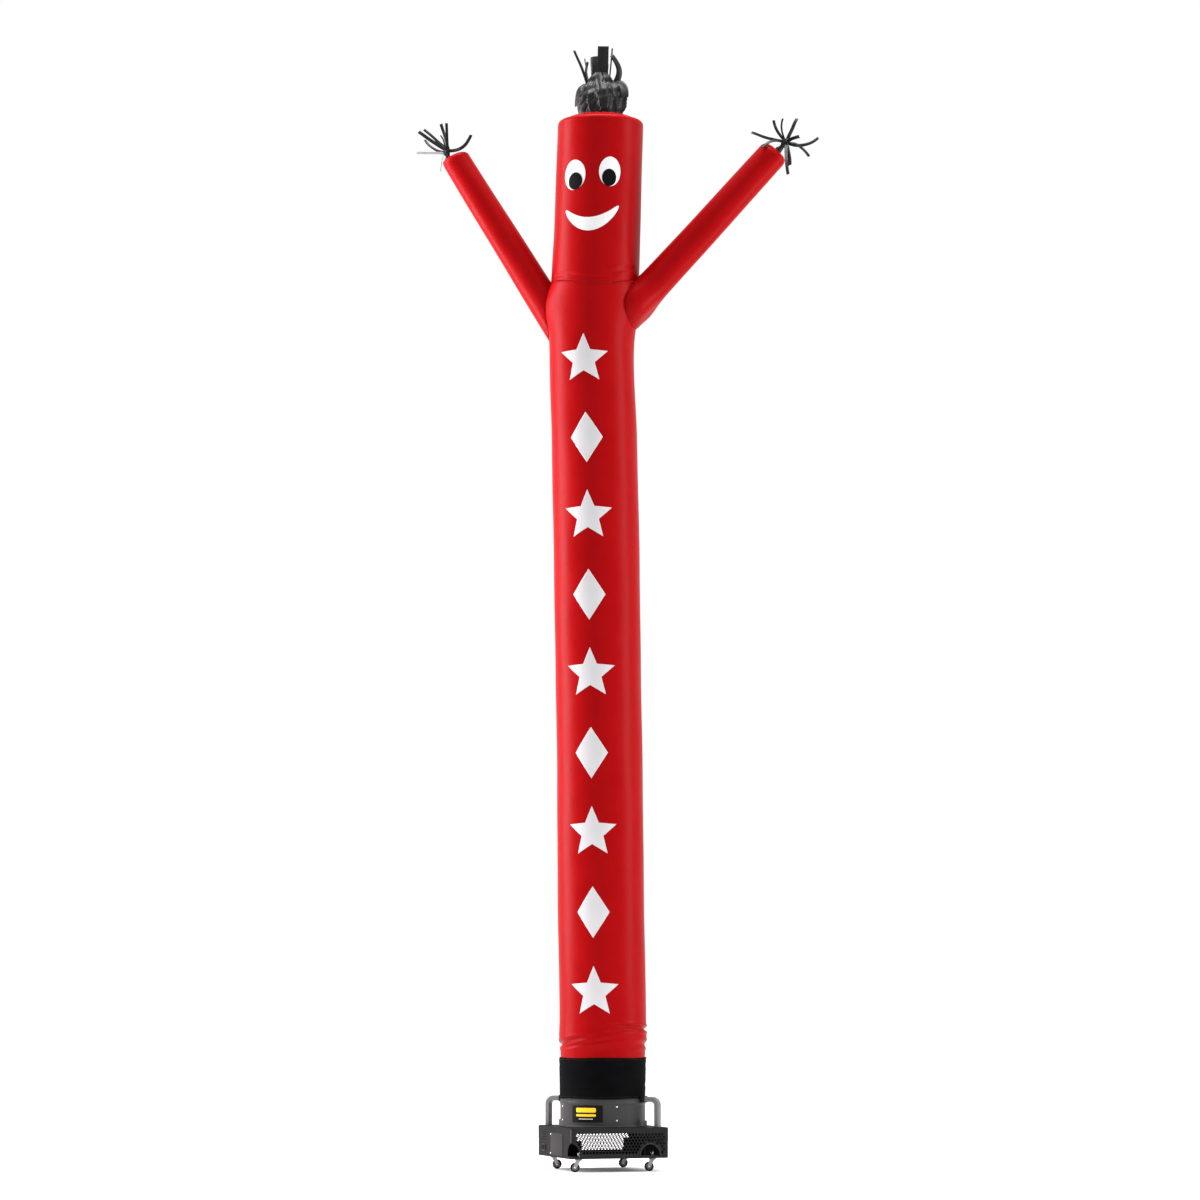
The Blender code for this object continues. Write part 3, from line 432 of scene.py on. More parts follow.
@dataclass(frozen=True)
class Finishes:
    """Every finish of the object, each made once."""

    red: Ripstop = Ripstop("red_ripstop_cloth", (0.250, 0.0006, 0.0014), (0.285, 0.0010, 0.0022), 0.36, 0.04)
    white: Ripstop = Ripstop("white_trim_cloth", (0.47, 0.47, 0.48), (0.52, 0.52, 0.53), 0.5, 0.1)
    eye: Ripstop = Ripstop("eye_cloth", (0.60, 0.60, 0.61), (0.66, 0.66, 0.67), 0.5, 0.1)
    black: Ripstop = Ripstop(
        "black_streamer_cloth", (0.003, 0.003, 0.0033), (0.008, 0.008, 0.009), 0.42, 0.20, crinkle=0.0025
    )
    pale_streamer: Ripstop = Ripstop("pale_streamer_cloth", (0.26, 0.26, 0.27), (0.34, 0.34, 0.35), 0.5, 0.1)
    pupil: Ripstop = Ripstop("pupil_cloth", (0.0025, 0.0025, 0.0025), (0.004, 0.004, 0.004), 0.5, 0.04)
    red_thread: Ripstop = Ripstop("red_thread", (0.14, 0.0006, 0.001), (0.19, 0.001, 0.002), 0.5, 0.08)
    black_thread: Ripstop = Ripstop("black_thread", (0.012, 0.012, 0.012), (0.03, 0.03, 0.03), 0.55, 0.3)
    cuff: Pile = Pile("cuff_webbing", (0.0010, 0.0010, 0.0012), (0.0034, 0.0034, 0.0040))
    flap: Pile = Pile("flap_webbing", (0.0012, 0.0012, 0.0012), (0.0045, 0.0045, 0.0050), 0.9, 0.0014)
    case: Enamel = Enamel("case_enamel", (0.018, 0.018, 0.018), (0.030, 0.030, 0.030), 0.46, 0.0, 0.01)
    # Painted shade: the brackets' near-black enamel, darker than the case, makes the inside of the arches
    # look dark.
    bracket: Enamel = Enamel("bracket_painted_shade_enamel", (0.003, 0.003, 0.003), (0.005, 0.005, 0.005), 0.6, 0.0, 0.01)
    ring: Enamel = Enamel("ring_enamel", (0.034, 0.034, 0.034), (0.056, 0.056, 0.056), 0.36, 0.0, 0.08)
    cover: Enamel = Enamel("cover_enamel", (0.038, 0.038, 0.039), (0.06, 0.06, 0.06), 0.46, 0.0, 0.01)
    handle: Enamel = Enamel("handle_enamel_coat", (0.125, 0.125, 0.125), (0.19, 0.19, 0.19), 0.4, 0.0, 0.25)
    plastic: Enamel = Enamel(
        "moulded_plastic", (0.005, 0.005, 0.005), (0.014, 0.014, 0.014), 0.45, 0.0, 0.12, peel=0.0002
    )
    label: Enamel = Enamel("label_film", (0.003, 0.003, 0.003), (0.006, 0.006, 0.006), 0.4, 0.0, 0.08)
    yellow: Enamel = Enamel("label_yellow", (0.80, 0.52, 0.01), (0.86, 0.62, 0.03), 0.45, 0.0, 0.2)
    pale: Enamel = Enamel("label_pale", (0.62, 0.60, 0.52), (0.7, 0.68, 0.6), 0.5, 0.0, 0.2)
    zinc: Enamel = Enamel("bright_zinc", (0.62, 0.62, 0.64), (0.45, 0.45, 0.46), 0.24, 1.0, 0.5, peel=0.00008)
    steel: Enamel = Enamel(
        "pressed_steel", (0.24, 0.24, 0.25), (0.16, 0.16, 0.16), 0.34, 1.0, 0.5, peel=0.0001
    )
    rubber: Enamel = Enamel(
        "wheel_tread", (0.006, 0.006, 0.006), (0.014, 0.014, 0.014), 0.62, 0.0, 0.05, peel=0.0003
    )
    hub: Enamel = Enamel("wheel_hub", (0.10, 0.10, 0.105), (0.16, 0.16, 0.16), 0.4, 0.2, 0.3)


class Workroom:
    """Keeps the frame, the blower's axis and the finishes, and fits every piece."""

    def __init__(self, frame: dict) -> None:
        """Reads the axis from the ring duct's box."""
        self.frame = frame
        low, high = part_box("blower_ring")
        self.axis = np.array([(low[0] + high[0]) / 2, (low[1] + high[1]) / 2, 0.0])
        self.finishes = Finishes()
        self.made: dict[str, bpy.types.Material] = {}

    def paint(self, finish: object) -> bpy.types.Material:
        """The material of a finish, made on its first use."""
        if finish.name not in self.made:
            self.made[finish.name] = finish.material()
        return self.made[finish.name]

    def fit(
        self,
        obj: bpy.types.Object,
        finish: object,
        slot: Slot,
        nodes: Sequence[str] = (),
        body: str = "root",
    ) -> bpy.types.Object:
        """Gives a piece its finish and body, and hides the solids that it stands for.

        Args:
            obj: the finished piece.
            finish: one of the finishes.
            slot: the record's slot that the finish belongs to; not used.
            nodes: solids that the piece replaces.
            body: the body that it rides on.

        Returns:
            The piece.
        """
        obj.data.materials.clear()
        obj.data.materials.append(self.paint(finish))
        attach(obj, body)
        if nodes:
            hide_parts(*nodes)
        LOG.info("%s: %d faces", obj.name, len(obj.data.polygons))
        return obj

    def coat(self, node: str, finish: object) -> None:
        """Gives a solid that stays as it is a better material."""
        solid = self.frame["nodes"][node]
        solid.data.materials.clear()
        solid.data.materials.append(self.paint(finish))


@dataclass(frozen=True)
class Fold:
    """A crease pressed into a tube along a line from one turn and height to another.

    Across the line the depth is a bell, with a lower ridge either side of it; along it the depth fades
    to nothing at both ends as a sine.
    """

    turn_from: float
    height_from: float
    turn_to: float
    height_to: float
    reach: float
    depth: float
    ridge: float = 0.35

    def depth_at(self, turns: Array, heights: Array) -> Array:
        """How far the crease presses in at each turn and height."""
        share = (turns - self.turn_from) / (self.turn_to - self.turn_from)
        inside = np.clip(share, 0.0, 1.0)
        line = self.height_from + inside * (self.height_to - self.height_from)
        across = np.abs(heights - line) / self.reach
        bell = np.exp(-(across**2)) - self.ridge * np.exp(-(((across - 1.8) / 0.8) ** 2))
        fade = np.where((share > 0) & (share < 1), np.sin(np.pi * inside) ** 0.75, 0.0)
        return self.depth * fade * bell


@dataclass(frozen=True)
class Bulge:
    """A soft swelling of the tube round an arm's root."""

    turn: float
    height: float
    turn_reach: float
    height_reach: float
    rise: float

    def rise_at(self, turns: Array, heights: Array) -> Array:
        """How far the surface swells out: a bell in both directions."""
        around = (turns - self.turn) / self.turn_reach
        up = (heights - self.height) / self.height_reach
        return self.rise * np.exp(-(around**2) - up**2)


HEM_FOLDS = (
    Fold(-130.0, 0.623, -2.0, 0.706, 0.0105, 0.0135, 0.22),
    Fold(-62.0, 0.640, 30.0, 0.693, 0.0090, 0.0050),
    Fold(20.0, 0.764, 150.0, 0.7235, 0.0095, 0.0130, 0.3),
    Fold(10.0, 0.722, 100.0, 0.742, 0.0080, 0.0045),
    Fold(50.0, 0.668, 150.0, 0.652, 0.0130, 0.0070),
    Fold(128.0, 0.716, 178.0, 0.660, 0.0140, 0.0095),
    Fold(-178.0, 0.655, -115.0, 0.708, 0.0140, 0.0095),
    Fold(-30.0, 0.628, 62.0, 0.648, 0.0220, 0.0030, 0.0),
)
ARM_BULGES = (
    Bulge(-90.0, 4.590, 34.0, 0.105, 0.044),
    Bulge(90.0, 4.620, 36.0, 0.120, 0.014),
)
SEAM_HEIGHT = 4.7325


def seam_dip(turns: Array, heights: Array) -> Array:
    """How far the cloth sinks at the shoulder seam: a bell over the chest and over height."""
    around = np.exp(-(((turns - 14.0) / 44.0) ** 2))
    return 0.034 * around * np.exp(-(((heights - SEAM_HEIGHT) / 0.10) ** 2))


@dataclass(frozen=True)
class Tube:
    """An inflated cloth tube: its axis leans and its radius changes smoothly with height."""

    heights: tuple[float, ...]
    leans: tuple[float, ...]
    radii: tuple[float, ...]
    folds: tuple[Fold, ...] = ()
    bulges: tuple[Bulge, ...] = ()
    billow: float = 0.0009

    def lean(self, heights: Array) -> Array:
        """Sideways place of the axis at each height."""
        return smooth_between(heights, self.heights, self.leans)

    def radius(self, heights: Array) -> Array:
        """Plain radius at each height."""
        return smooth_between(heights, self.heights, self.radii)

    def reach(self, turns: Array, heights: Array) -> Array:
        """Radius with its creases, swellings and a faint billow of three slow waves."""
        reach = self.radius(heights)
        for fold in self.folds:
            reach = reach - fold.depth_at(turns, heights)
        for bulge in self.bulges:
            reach = reach + bulge.rise_at(turns, heights)
        angles = np.radians(turns)
        waves = np.sin(2 * angles + 3.1 * heights) + np.sin(3 * angles - 5.3 * heights + 1.0)
        return reach + self.billow * (waves + 0.7 * np.sin(5 * angles + 11.0 * heights))

    def point(self, axis: Array, turns: Array, heights: Array, offset: float = 0.0) -> Array:
        """Places on the surface: the leaning axis plus the reach along each turn.

        Args:
            axis: the blower's axis on the floor.
            turns: degrees from the front.
            heights: metres above the floor.
            offset: distance outwards from the surface.

        Returns:
            (..., 3) places.
        """
        turns, heights = np.broadcast_arrays(turns, heights)
        reach = self.reach(turns, heights) + offset
        angles = np.radians(turns)
        x = self.lean(heights) + reach * np.sin(angles)
        sunk = heights - seam_dip(turns, heights)
        return axis + np.stack([x, -reach * np.cos(angles), sunk], axis=-1)


BODY_TUBE = Tube(
    (0.566, 0.606, 0.650, 0.682, 0.790, 1.024, 1.740, 2.458, 3.180, 3.908, 4.395, 4.560, 4.690, 4.732),
    (0.0, 0.0, 0.0, 0.0, 0.0, -0.004, -0.013, -0.021, -0.033, -0.046, -0.061, -0.052, -0.045, -0.042),
    (
        0.2240,
        0.2240,
        0.2275,
        0.2315,
        0.2300,
        0.2290,
        0.2286,
        0.2290,
        0.2290,
        0.2290,
        0.2285,
        0.2335,
        0.2355,
        0.2315,
    ),
    HEM_FOLDS,
    ARM_BULGES,
)
HEAD_TUBE = Tube(
    (4.7325, 4.775, 5.009, 5.300, 5.575, 5.640),
    (-0.042, -0.040, -0.030, -0.021, -0.014, -0.013),
    (0.2310, 0.2345, 0.2325, 0.2305, 0.2295, 0.2292),
    (
        Fold(-62.0, 4.752, -14.0, 4.770, 0.010, 0.0045),
        Fold(-30.0, 4.760, 44.0, 4.756, 0.008, 0.0030),
        Fold(20.0, 4.772, 75.0, 4.800, 0.012, 0.0040),
        Fold(140.0, 4.76, 178.0, 4.775, 0.010, 0.0040),
    ),
    ARM_BULGES,
)


def ring_turns(columns: int) -> tuple[Array, Array]:
    """Turns of a round surface's columns, and the column edges' turns with the first repeated."""
    edges = np.linspace(-180.0, 180.0, columns + 1)
    return edges[:-1], edges


class Stitching:
    """Rows of short threads laid on a seam, made as one joined mesh."""

    def __init__(self, pitch: float = 0.0062, length: float = 0.0042, thickness: float = 0.0009) -> None:
        """Keeps the thread's sizes.

        Args:
            pitch: distance from one stitch to the next.
            length: length of the thread that shows.
            thickness: width of the thread.
        """
        self.pitch, self.length, self.thickness = pitch, length, thickness

    def thread(self, path: Array, outwards: Array, closed: bool) -> tuple[Array, Array]:
        """Stitches along one path.

        Each stitch is a spindle: its radius falls from the middle to both ends as a half circle.

        Args:
            path: (n, 3) places along the seam.
            outwards: (n, 3) directions away from the cloth.
            closed: whether the path joins its own start.

        Returns:
            The points and the quads.
        """
        if closed:
            path, outwards = np.vstack([path, path[:1]]), np.vstack([outwards, outwards[:1]])
        steps = np.linalg.norm(np.diff(path, axis=0), axis=1)
        run = np.concatenate([[0.0], np.cumsum(steps)])
        count = max(2, int(run[-1] / self.pitch))
        middles = (np.arange(count) + 0.5) * run[-1] / count

        def read(values: Array, at: Array) -> Array:
            return np.stack([np.interp(at, run, values[:, k]) for k in range(3)], axis=-1)

        centre = read(path, middles)
        heading = unit(read(path, middles + 0.001) - read(path, middles - 0.001))
        up = unit(read(outwards, middles))
        side = np.cross(heading, up)
        share = np.array([-1.0, -0.55, 0.0, 0.55, 1.0])
        swell = self.thickness / 2 * np.sqrt(np.clip(1.04 - share**2, 0.04, 1.0))
        angles = np.arange(5) * 2 * np.pi / 5
        ring = np.cos(angles)[None, None, :, None] * side[:, None, None, :]
        ring = ring + np.sin(angles)[None, None, :, None] * up[:, None, None, :]
        spine = centre[:, None, None, :] + heading[:, None, None, :] * (
            share * self.length / 2
        )[None, :, None, None]
        points = spine + ring * swell[None, :, None, None] + up[:, None, None, :] * self.thickness * 0.3
        cells = grid_faces(len(share), len(angles), True).reshape(-1, 4)
        per = len(share) * len(angles)
        faces = cells[None] + (np.arange(count) * per)[:, None, None]
        return points.reshape(-1, 3), faces.reshape(-1, 4)

    def add(self, name: str, lines: Sequence[tuple[Array, Array, bool]]) -> bpy.types.Object:
        """Joins the stitches of several lines of (path, outwards, closed) into one piece."""
        points, faces, total = [], [], 0
        for path, outwards, closed in lines:
            some, cells = self.thread(path, outwards, closed)
            points.append(some)
            faces.append(cells + total)
            total += len(some)
        cells = np.concatenate(faces)
        flat = np.zeros((len(cells), 4, 2))
        return add_mesh(name, np.concatenate(points), cells, flat)


def round_line(
    tube: Tube, axis: Array, height: float, offset: float = 0.0, count: int = 360
) -> tuple[Array, Array, bool]:
    """A closed seam line round a tube at one height, with its outward directions."""
    turns, _ = ring_turns(count)
    path = tube.point(axis, turns, np.full(count, height), offset)
    angles = np.radians(turns)
    outwards = np.stack([np.sin(angles), -np.cos(angles), np.zeros(count)], axis=-1)
    return path, outwards, True


@dataclass
class Torso:
    """Body and head tubes with their seams."""

    room: Workroom
    cloth: float = 0.0014
    columns: int = 144
    rim_radius: float = 0.026
    lid_height: float = 5.614
    lid_dome: float = 0.024
    lid_hole: float = 0.126
    pucker: float = 0.0011
    pieces: dict[str, bpy.types.Object] = field(default_factory=dict)

    def body(self) -> bpy.types.Object:
        """The red body: close rows over the hem's folds and at the shoulders, wide ones between."""
        bottom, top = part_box("body")[0][2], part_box("body")[1][2]
        heights = np.concatenate(
            [
                np.linspace(bottom, 0.84, 78, endpoint=False),
                np.linspace(0.84, 4.28, 84, endpoint=False),
                np.linspace(4.28, top - 0.0002, 64),
            ]
        )
        turns, edges = ring_turns(self.columns)
        grid = BODY_TUBE.point(self.room.axis, turns[None, :], heights[:, None])
        grid = grid + self.seam_puckers(turns[None, :], heights[:, None], top, 1.0)
        across = np.radians(edges) * 0.229
        cloth = add_surface("body_tube", grid, across, heights)
        thicken(cloth, self.cloth)
        self.pieces["body"] = self.room.fit(cloth, self.room.finishes.red, Slot.RED, ["body"])
        return cloth

    def seam_puckers(self, turns: Array, heights: Array, seam: float, side: float) -> Array:
        """Small radial ripples that die away from a sewn seam.

        The ripple is a product of two sines round the tube, and it falls off with distance from the seam.
        """
        angles = np.radians(turns)
        near = np.exp(-np.abs(heights - seam) / 0.022)
        ripple = np.sin(37 * angles + 1.3) * (0.6 + 0.4 * np.sin(5 * angles)) + 0.5 * np.sin(61 * angles)
        reach = self.pucker * side * ripple * near
        return np.stack([reach * np.sin(angles), -reach * np.cos(angles), np.zeros_like(reach)], axis=-1)

    def head(self) -> bpy.types.Object:
        """The head: a straight side, a quarter-round rim, and a low dome to the hair's opening."""
        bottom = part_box("head")[0][2]
        shoulder = self.lid_height - self.rim_radius
        side = np.concatenate(
            [np.linspace(bottom, 4.90, 44, endpoint=False), np.linspace(4.90, shoulder, 46)]
        )
        quarter = np.radians(np.linspace(0.0, 90.0, 12)[1:])
        inwards = np.linspace(0.0, 1.0, 18)[1:]
        top_radius = float(HEAD_TUBE.radius(np.array(shoulder)))
        lid_radius = top_radius - self.rim_radius
        drop = np.concatenate([np.zeros(len(side)), self.rim_radius * (1 - np.cos(quarter))])
        rise = np.concatenate([side, shoulder + self.rim_radius * np.sin(quarter)])
        lid_shrink = top_radius - (lid_radius + inwards * (self.lid_hole - lid_radius))
        drop = np.concatenate([drop, lid_shrink])
        heights = np.concatenate([rise, self.lid_height + self.lid_dome * np.sin(inwards * np.pi / 2)])
        turns, edges = ring_turns(self.columns)
        base = np.minimum(heights, shoulder)
        grid = HEAD_TUBE.point(self.room.axis, turns[None, :], base[:, None])
        sunk = base[:, None] - grid[..., 2]
        angles = np.radians(turns)[None, :]
        folds = 0.0022 * np.sin(23 * angles) * (drop / drop.max())[:, None] ** 2
        outwards = np.stack([np.sin(angles), -np.cos(angles), np.zeros_like(angles)], axis=-1)
        grid = grid - outwards * drop[:, None, None]
        grid[..., 2] = heights[:, None] + folds - sunk
        grid = grid + self.seam_puckers(turns[None, :], base[:, None], bottom, 1.0)
        run = np.concatenate([[0.0], np.cumsum(np.hypot(np.diff(drop), np.diff(heights)))])
        cloth = add_surface("head_tube", grid, np.radians(edges) * 0.231, run)
        thicken(cloth, self.cloth)
        self.pieces["head"] = self.room.fit(cloth, self.room.finishes.red, Slot.RED, ["head"])
        return cloth

    def seams(self) -> bpy.types.Object:
        """Double rows of stitches below the shoulder seam, above it, at the lid's rim and over the hem."""
        axis = self.room.axis
        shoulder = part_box("body")[1][2]
        lines = [round_line(BODY_TUBE, axis, shoulder - drop, 0.0006) for drop in (0.007, 0.014)]
        lines += [round_line(HEAD_TUBE, axis, shoulder + rise, 0.0006) for rise in (0.008,)]
        lines += [round_line(HEAD_TUBE, axis, 5.572, 0.0004), round_line(BODY_TUBE, axis, 0.612, 0.0004)]
        threads = Stitching().add("torso_stitches", lines)
        return self.room.fit(threads, self.room.finishes.red_thread, Slot.RED)

    def build(self) -> None:
        self.body()
        self.head()
        self.pieces["seams"] = self.seams()


@dataclass
class ArmSleeve:
    """A tapering arm whose root is worked out against the tube that it is sewn to."""

    room: Workroom
    node: str
    root: tuple[float, float]
    tip: tuple[float, float]
    root_radius: float
    wrist_radius: float
    hand_shift: float
    cloth: float = 0.0014
    columns: int = 80
    rows: int = 100
    hand_hole: float = 0.027
    clearance: float = 0.0012
    flare: float = 0.008
    sag: float = 0.004

    def frame(self) -> tuple[Array, Array, Array, float]:
        """Start, heading, sideways direction and length of the arm's axis."""
        start = self.room.axis + np.array([self.root[0], 0.0, self.root[1]])
        reach = self.room.axis + np.array([self.tip[0], 0.0, self.tip[1]]) - start
        length = float(np.linalg.norm(reach))
        along = reach / length
        return start, along, np.array([along[2], 0.0, -along[0]]), length

    def radius(self, distance: Array, angles: Array, wall: float) -> Array:
        """Taper from root to wrist, with a flare front and back that dies away from the wall."""
        length = self.frame()[3]
        taper = self.root_radius + distance / length * (self.wrist_radius - self.root_radius)
        return taper + self.flare * np.sin(angles) ** 2 * np.exp(-(((distance - wall) / 0.10) ** 2))

    def across(self, angles: Array) -> Array:
        """Unit directions across the arm at each angle."""
        side = self.frame()[2]
        return np.cos(angles)[..., None] * side + np.sin(angles)[..., None] * np.array([0.0, 1.0, 0.0])

    def outside(self, places: Array) -> Array:
        """How far places lie outside the tube's cloth."""
        flat = places - self.room.axis
        heights = flat[..., 2]
        below = heights < HEAD_TUBE.heights[0]
        lean = np.where(below, BODY_TUBE.lean(heights), HEAD_TUBE.lean(heights))
        x = flat[..., 0] - lean
        turns = np.degrees(np.arctan2(x, -flat[..., 1]))
        reach = np.where(below, BODY_TUBE.reach(turns, heights), HEAD_TUBE.reach(turns, heights))
        return np.hypot(x, flat[..., 1]) - reach

    def roots(self, angles: Array, wall: float) -> Array:
        """Distance along the axis at which each column leaves the tube, found by halving."""
        start, along, _, length = self.frame()
        low, high = np.full(len(angles), 0.12), np.full(len(angles), 0.8 * length)
        directions = self.across(angles)
        for _ in range(30):
            middle = (low + high) / 2
            reach = self.radius(middle, angles, wall)[:, None]
            places = start + middle[:, None] * along + reach * directions
            inside = self.outside(places) < self.clearance
            low, high = np.where(inside, middle, low), np.where(inside, high, middle)
        return high

    def build(self) -> bpy.types.Object:
        """The arm: columns from their roots to the wrist, then a rounded end drawn in to the hand's hole."""
        start, along, side, length = self.frame()
        angles = np.arange(self.columns) * 2 * np.pi / self.columns
        wall = 0.30 * length
        wall = float(self.roots(angles, wall).mean())
        roots = self.roots(angles, wall)
        rounded = 0.45 * self.wrist_radius
        share = np.linspace(0.0, 1.0, self.rows)[:, None] ** 1.15
        distance = roots[None, :] + share * (length - rounded - roots[None, :])
        radius = self.radius(distance, angles[None, :], wall)
        from_root = distance - roots[None, :]
        ripple = np.sin(17 * angles)[None, :] + 0.7 * np.sin(29 * angles + 1.0)[None, :]
        radius = radius + 0.0014 * ripple * np.exp(-from_root / 0.030)
        radius = radius - 0.0016 * np.exp(-(((from_root - 0.006) / 0.004) ** 2))
        slack = (np.sin(3 * angles + 2.0)[None, :] * np.sin(9.0 * distance)
            + np.sin(2 * angles)[None, :] * np.sin(5.0 * distance + 1.0)
        )
        radius = radius + 0.0010 * slack
        shift = np.zeros_like(distance)
        bends = np.linspace(0.0, 90.0, 12)[1:, None] * np.pi / 180
        cap_share = 1 - np.cos(bends)
        cap_distance = np.broadcast_to(length - rounded + rounded * np.sin(bends), (11, self.columns))
        cap_radius = self.wrist_radius + cap_share * (self.hand_hole - self.wrist_radius)
        gathers = 0.0016 * np.sin(16 * angles)[None, :] * np.sin(np.pi * np.clip(cap_share, 0, 1))
        cap_radius = cap_radius + gathers
        distance = np.vstack([distance, cap_distance])
        radius = np.vstack([radius, cap_radius])
        shift = np.vstack([shift, np.broadcast_to(cap_share * self.hand_shift, cap_distance.shape)])
        spine = start + distance[..., None] * along + shift[..., None] * side
        spine[..., 2] -= self.sag * np.sin(np.pi * np.clip(distance / length, 0, 1))
        grid = spine + radius[..., None] * self.across(angles)[None]
        run = np.concatenate([[0.0], np.cumsum(np.linalg.norm(np.diff(grid[:, 0], axis=0), axis=1))])
        edges = np.arange(self.columns + 1) * 2 * np.pi / self.columns
        cloth = add_surface(self.node + "_tube", grid, edges * 0.085, run)
        thicken(cloth, self.cloth)
        self.room.fit(cloth, self.room.finishes.red, Slot.RED, [self.node])
        self.root_line = grid[3] + 0.0005 * self.across(angles)
        self.root_outwards = self.across(angles)
        return cloth

    def stitches(self) -> bpy.types.Object:
        """The seam's stitches round the arm's root."""
        lines = [(self.root_line, self.root_outwards, True)]
        threads = Stitching().add(self.node + "_stitches", lines)
        return self.room.fit(threads, self.room.finishes.red_thread, Slot.RED)


@dataclass(frozen=True)
class Strip:
    """One streamer: its root from the knot (across, up), its tip from the root, how far its middle is

    drawn (sideways, upwards), its width, its turn in degrees, and its curl in radians towards the tip.
    """

    root: tuple[float, float]
    tip: tuple[float, float, float]
    draw: tuple[float, float]
    width: float
    facing: float
    curl: float = 0.0


@dataclass
class Streamers:
    """Ribbons that spring from one knot, joined as one piece."""

    room: Workroom
    name: str
    node: str
    knot: tuple[float, float, float]
    strips: tuple[Strip, ...]
    finish: Ripstop
    cloth: float = 0.0009
    rows: int = 30
    columns: int = 5
    flutter: float = 0.0028
    root_depth: float = 0.1

    def ribbon(self, number: int, strip: Strip) -> tuple[Array, Array]:
        """One ribbon as a grid of points, with its flat length.

        Its middle line is a quadratic curve from root to tip; across it the cloth is cupped as a parabola,
        and along it the ribbon flutters as a sine that grows to the tip and turns by its curl.

        Args:
            number: the ribbon's place in the row, which sets its flutter.
            strip: its sizes.

        Returns:
            The (rows, columns, 3) grid and the places of its rows on the flat cloth.
        """
        tip = np.array(strip.tip)
        offset = np.array([strip.root[0], self.root_depth * tip[1], strip.root[1]])
        root = self.room.axis + np.array(self.knot) + offset
        end = root + tip
        middle = (root + end) / 2 + np.array([strip.draw[0], 0.0, strip.draw[1]])
        t = np.linspace(0.0, 1.0, self.rows)[:, None]
        spine = (1 - t) ** 2 * root + 2 * t * (1 - t) * middle + t * t * end
        heading = unit((1 - t) * (middle - root) + t * (end - middle))
        chord = unit(end - root)
        facing = turned(np.array([0.0, -1.0, 0.0]), chord, np.array(math.radians(strip.facing)))
        side = unit(np.cross(heading, facing))
        side = turned(side, heading, (strip.curl * t[:, 0]))
        out = np.cross(side, heading)
        phase = 1.7 * number
        wave = self.flutter * t[:, 0] * np.sin(9.0 * t[:, 0] + phase)
        s = np.linspace(-1.0, 1.0, self.columns)
        cup = 0.12 * strip.width * (s**2)[None, :] * np.sin(2.5 * t + phase)
        ends = 1.0 - 0.10 * np.abs(np.sin(phase)) * (t > 0.97)
        grid = spine[:, None] + side[:, None] * (s[None, :] * strip.width / 2 * ends)[..., None]
        grid = grid + out[:, None] * (wave[:, None] + cup)[..., None]
        run = np.concatenate([[0.0], np.cumsum(np.linalg.norm(np.diff(spine, axis=0), axis=1))])
        return grid, run

    def build(self) -> bpy.types.Object:
        """All ribbons in one mesh."""
        points, faces, flats, total = [], [], [], 0
        for number, strip in enumerate(self.strips):
            grid, run = self.ribbon(number, strip)
            cells = grid_faces(*grid.shape[:2], False).reshape(-1, 4)
            widths = np.linspace(-strip.width / 2, strip.width / 2, self.columns)
            points.append(grid.reshape(-1, 3))
            faces.append(cells + total)
            flats.append(cell_places(run, widths).reshape(-1, 4, 2))
            total += grid.shape[0] * grid.shape[1]
        cloth = add_mesh(self.name, np.concatenate(points), np.concatenate(faces), np.concatenate(flats))
        thicken(cloth, self.cloth, 0.0)
        return self.room.fit(cloth, self.finish, Slot.BLACK, [self.node])


LEFT_KNOT = (-0.865, 0.0, 5.479)
LEFT_PALE_STRIP = (Strip((-0.002, -0.009), (-0.161, -0.020, 0.003), (0.0, 0.004), 0.015, 20.0),)
LEFT_STRIPS = (
    Strip((0.008, 0.003), (-0.172, 0.030, 0.120), (0.0, -0.006), 0.019, -10.0, 0.5),
    Strip((0.014, 0.008), (-0.127, -0.045, 0.112), (0.0, -0.008), 0.017, 35.0),
    Strip((-0.003, -0.001), (-0.133, 0.060, 0.086), (-0.012, -0.034), 0.016, 10.0, 0.6),
    Strip((0.010, 0.014), (-0.047, 0.025, 0.146), (0.0, 0.0), 0.017, -25.0, 0.4),
    Strip((0.006, 0.011), (0.001, -0.030, 0.141), (0.0, 0.0), 0.015, 15.0),
    Strip((0.003, 0.003), (-0.016, -0.070, 0.073), (0.0, 0.014), 0.008, 40.0),
    Strip((0.012, 0.005), (0.138, -0.055, 0.071), (0.030, -0.050), 0.018, 0.0, 0.8),
    Strip((-0.007, -0.008), (-0.012, -0.030, -0.104), (-0.020, 0.0), 0.007, 60.0),
    Strip((-0.001, 0.004), (-0.077, 0.070, 0.072), (0.0, 0.020), 0.016, 75.0),
)
RIGHT_KNOT = (0.998, 0.0, 5.461)
RIGHT_STRIPS = (
    Strip((-0.010, 0.004), (-0.172, -0.030, 0.049), (0.0, -0.012), 0.017, 5.0, 0.5),
    Strip((-0.009, -0.003), (-0.107, -0.075, -0.037), (0.0, 0.044), 0.018, 30.0),
    Strip((-0.007, 0.010), (-0.062, 0.020, 0.117), (-0.024, 0.0), 0.015, -15.0, 0.5),
    Strip((-0.002, 0.008), (-0.009, -0.035, 0.114), (-0.026, 0.0), 0.010, 20.0),
    Strip((0.004, 0.009), (0.052, 0.030, 0.124), (0.0, 0.0), 0.020, 0.0, -0.4),
    Strip((0.008, 0.002), (0.072, -0.060, 0.010), (0.0, 0.012), 0.020, 45.0),
    Strip((0.009, -0.004), (0.165, 0.010, 0.024), (0.0, -0.050), 0.018, 10.0, -0.6),
    Strip((0.011, -0.008), (0.118, -0.030, -0.082), (0.0, 0.050), 0.015, -20.0),
    Strip((0.006, -0.011), (0.023, -0.120, -0.188), (-0.012, 0.050), 0.018, 0.0, 0.3),
    Strip((-0.001, -0.010), (0.032, -0.085, -0.133), (0.010, 0.040), 0.024, 35.0),
)
HAIR_TOP = (-0.011, 0.0, 5.847)
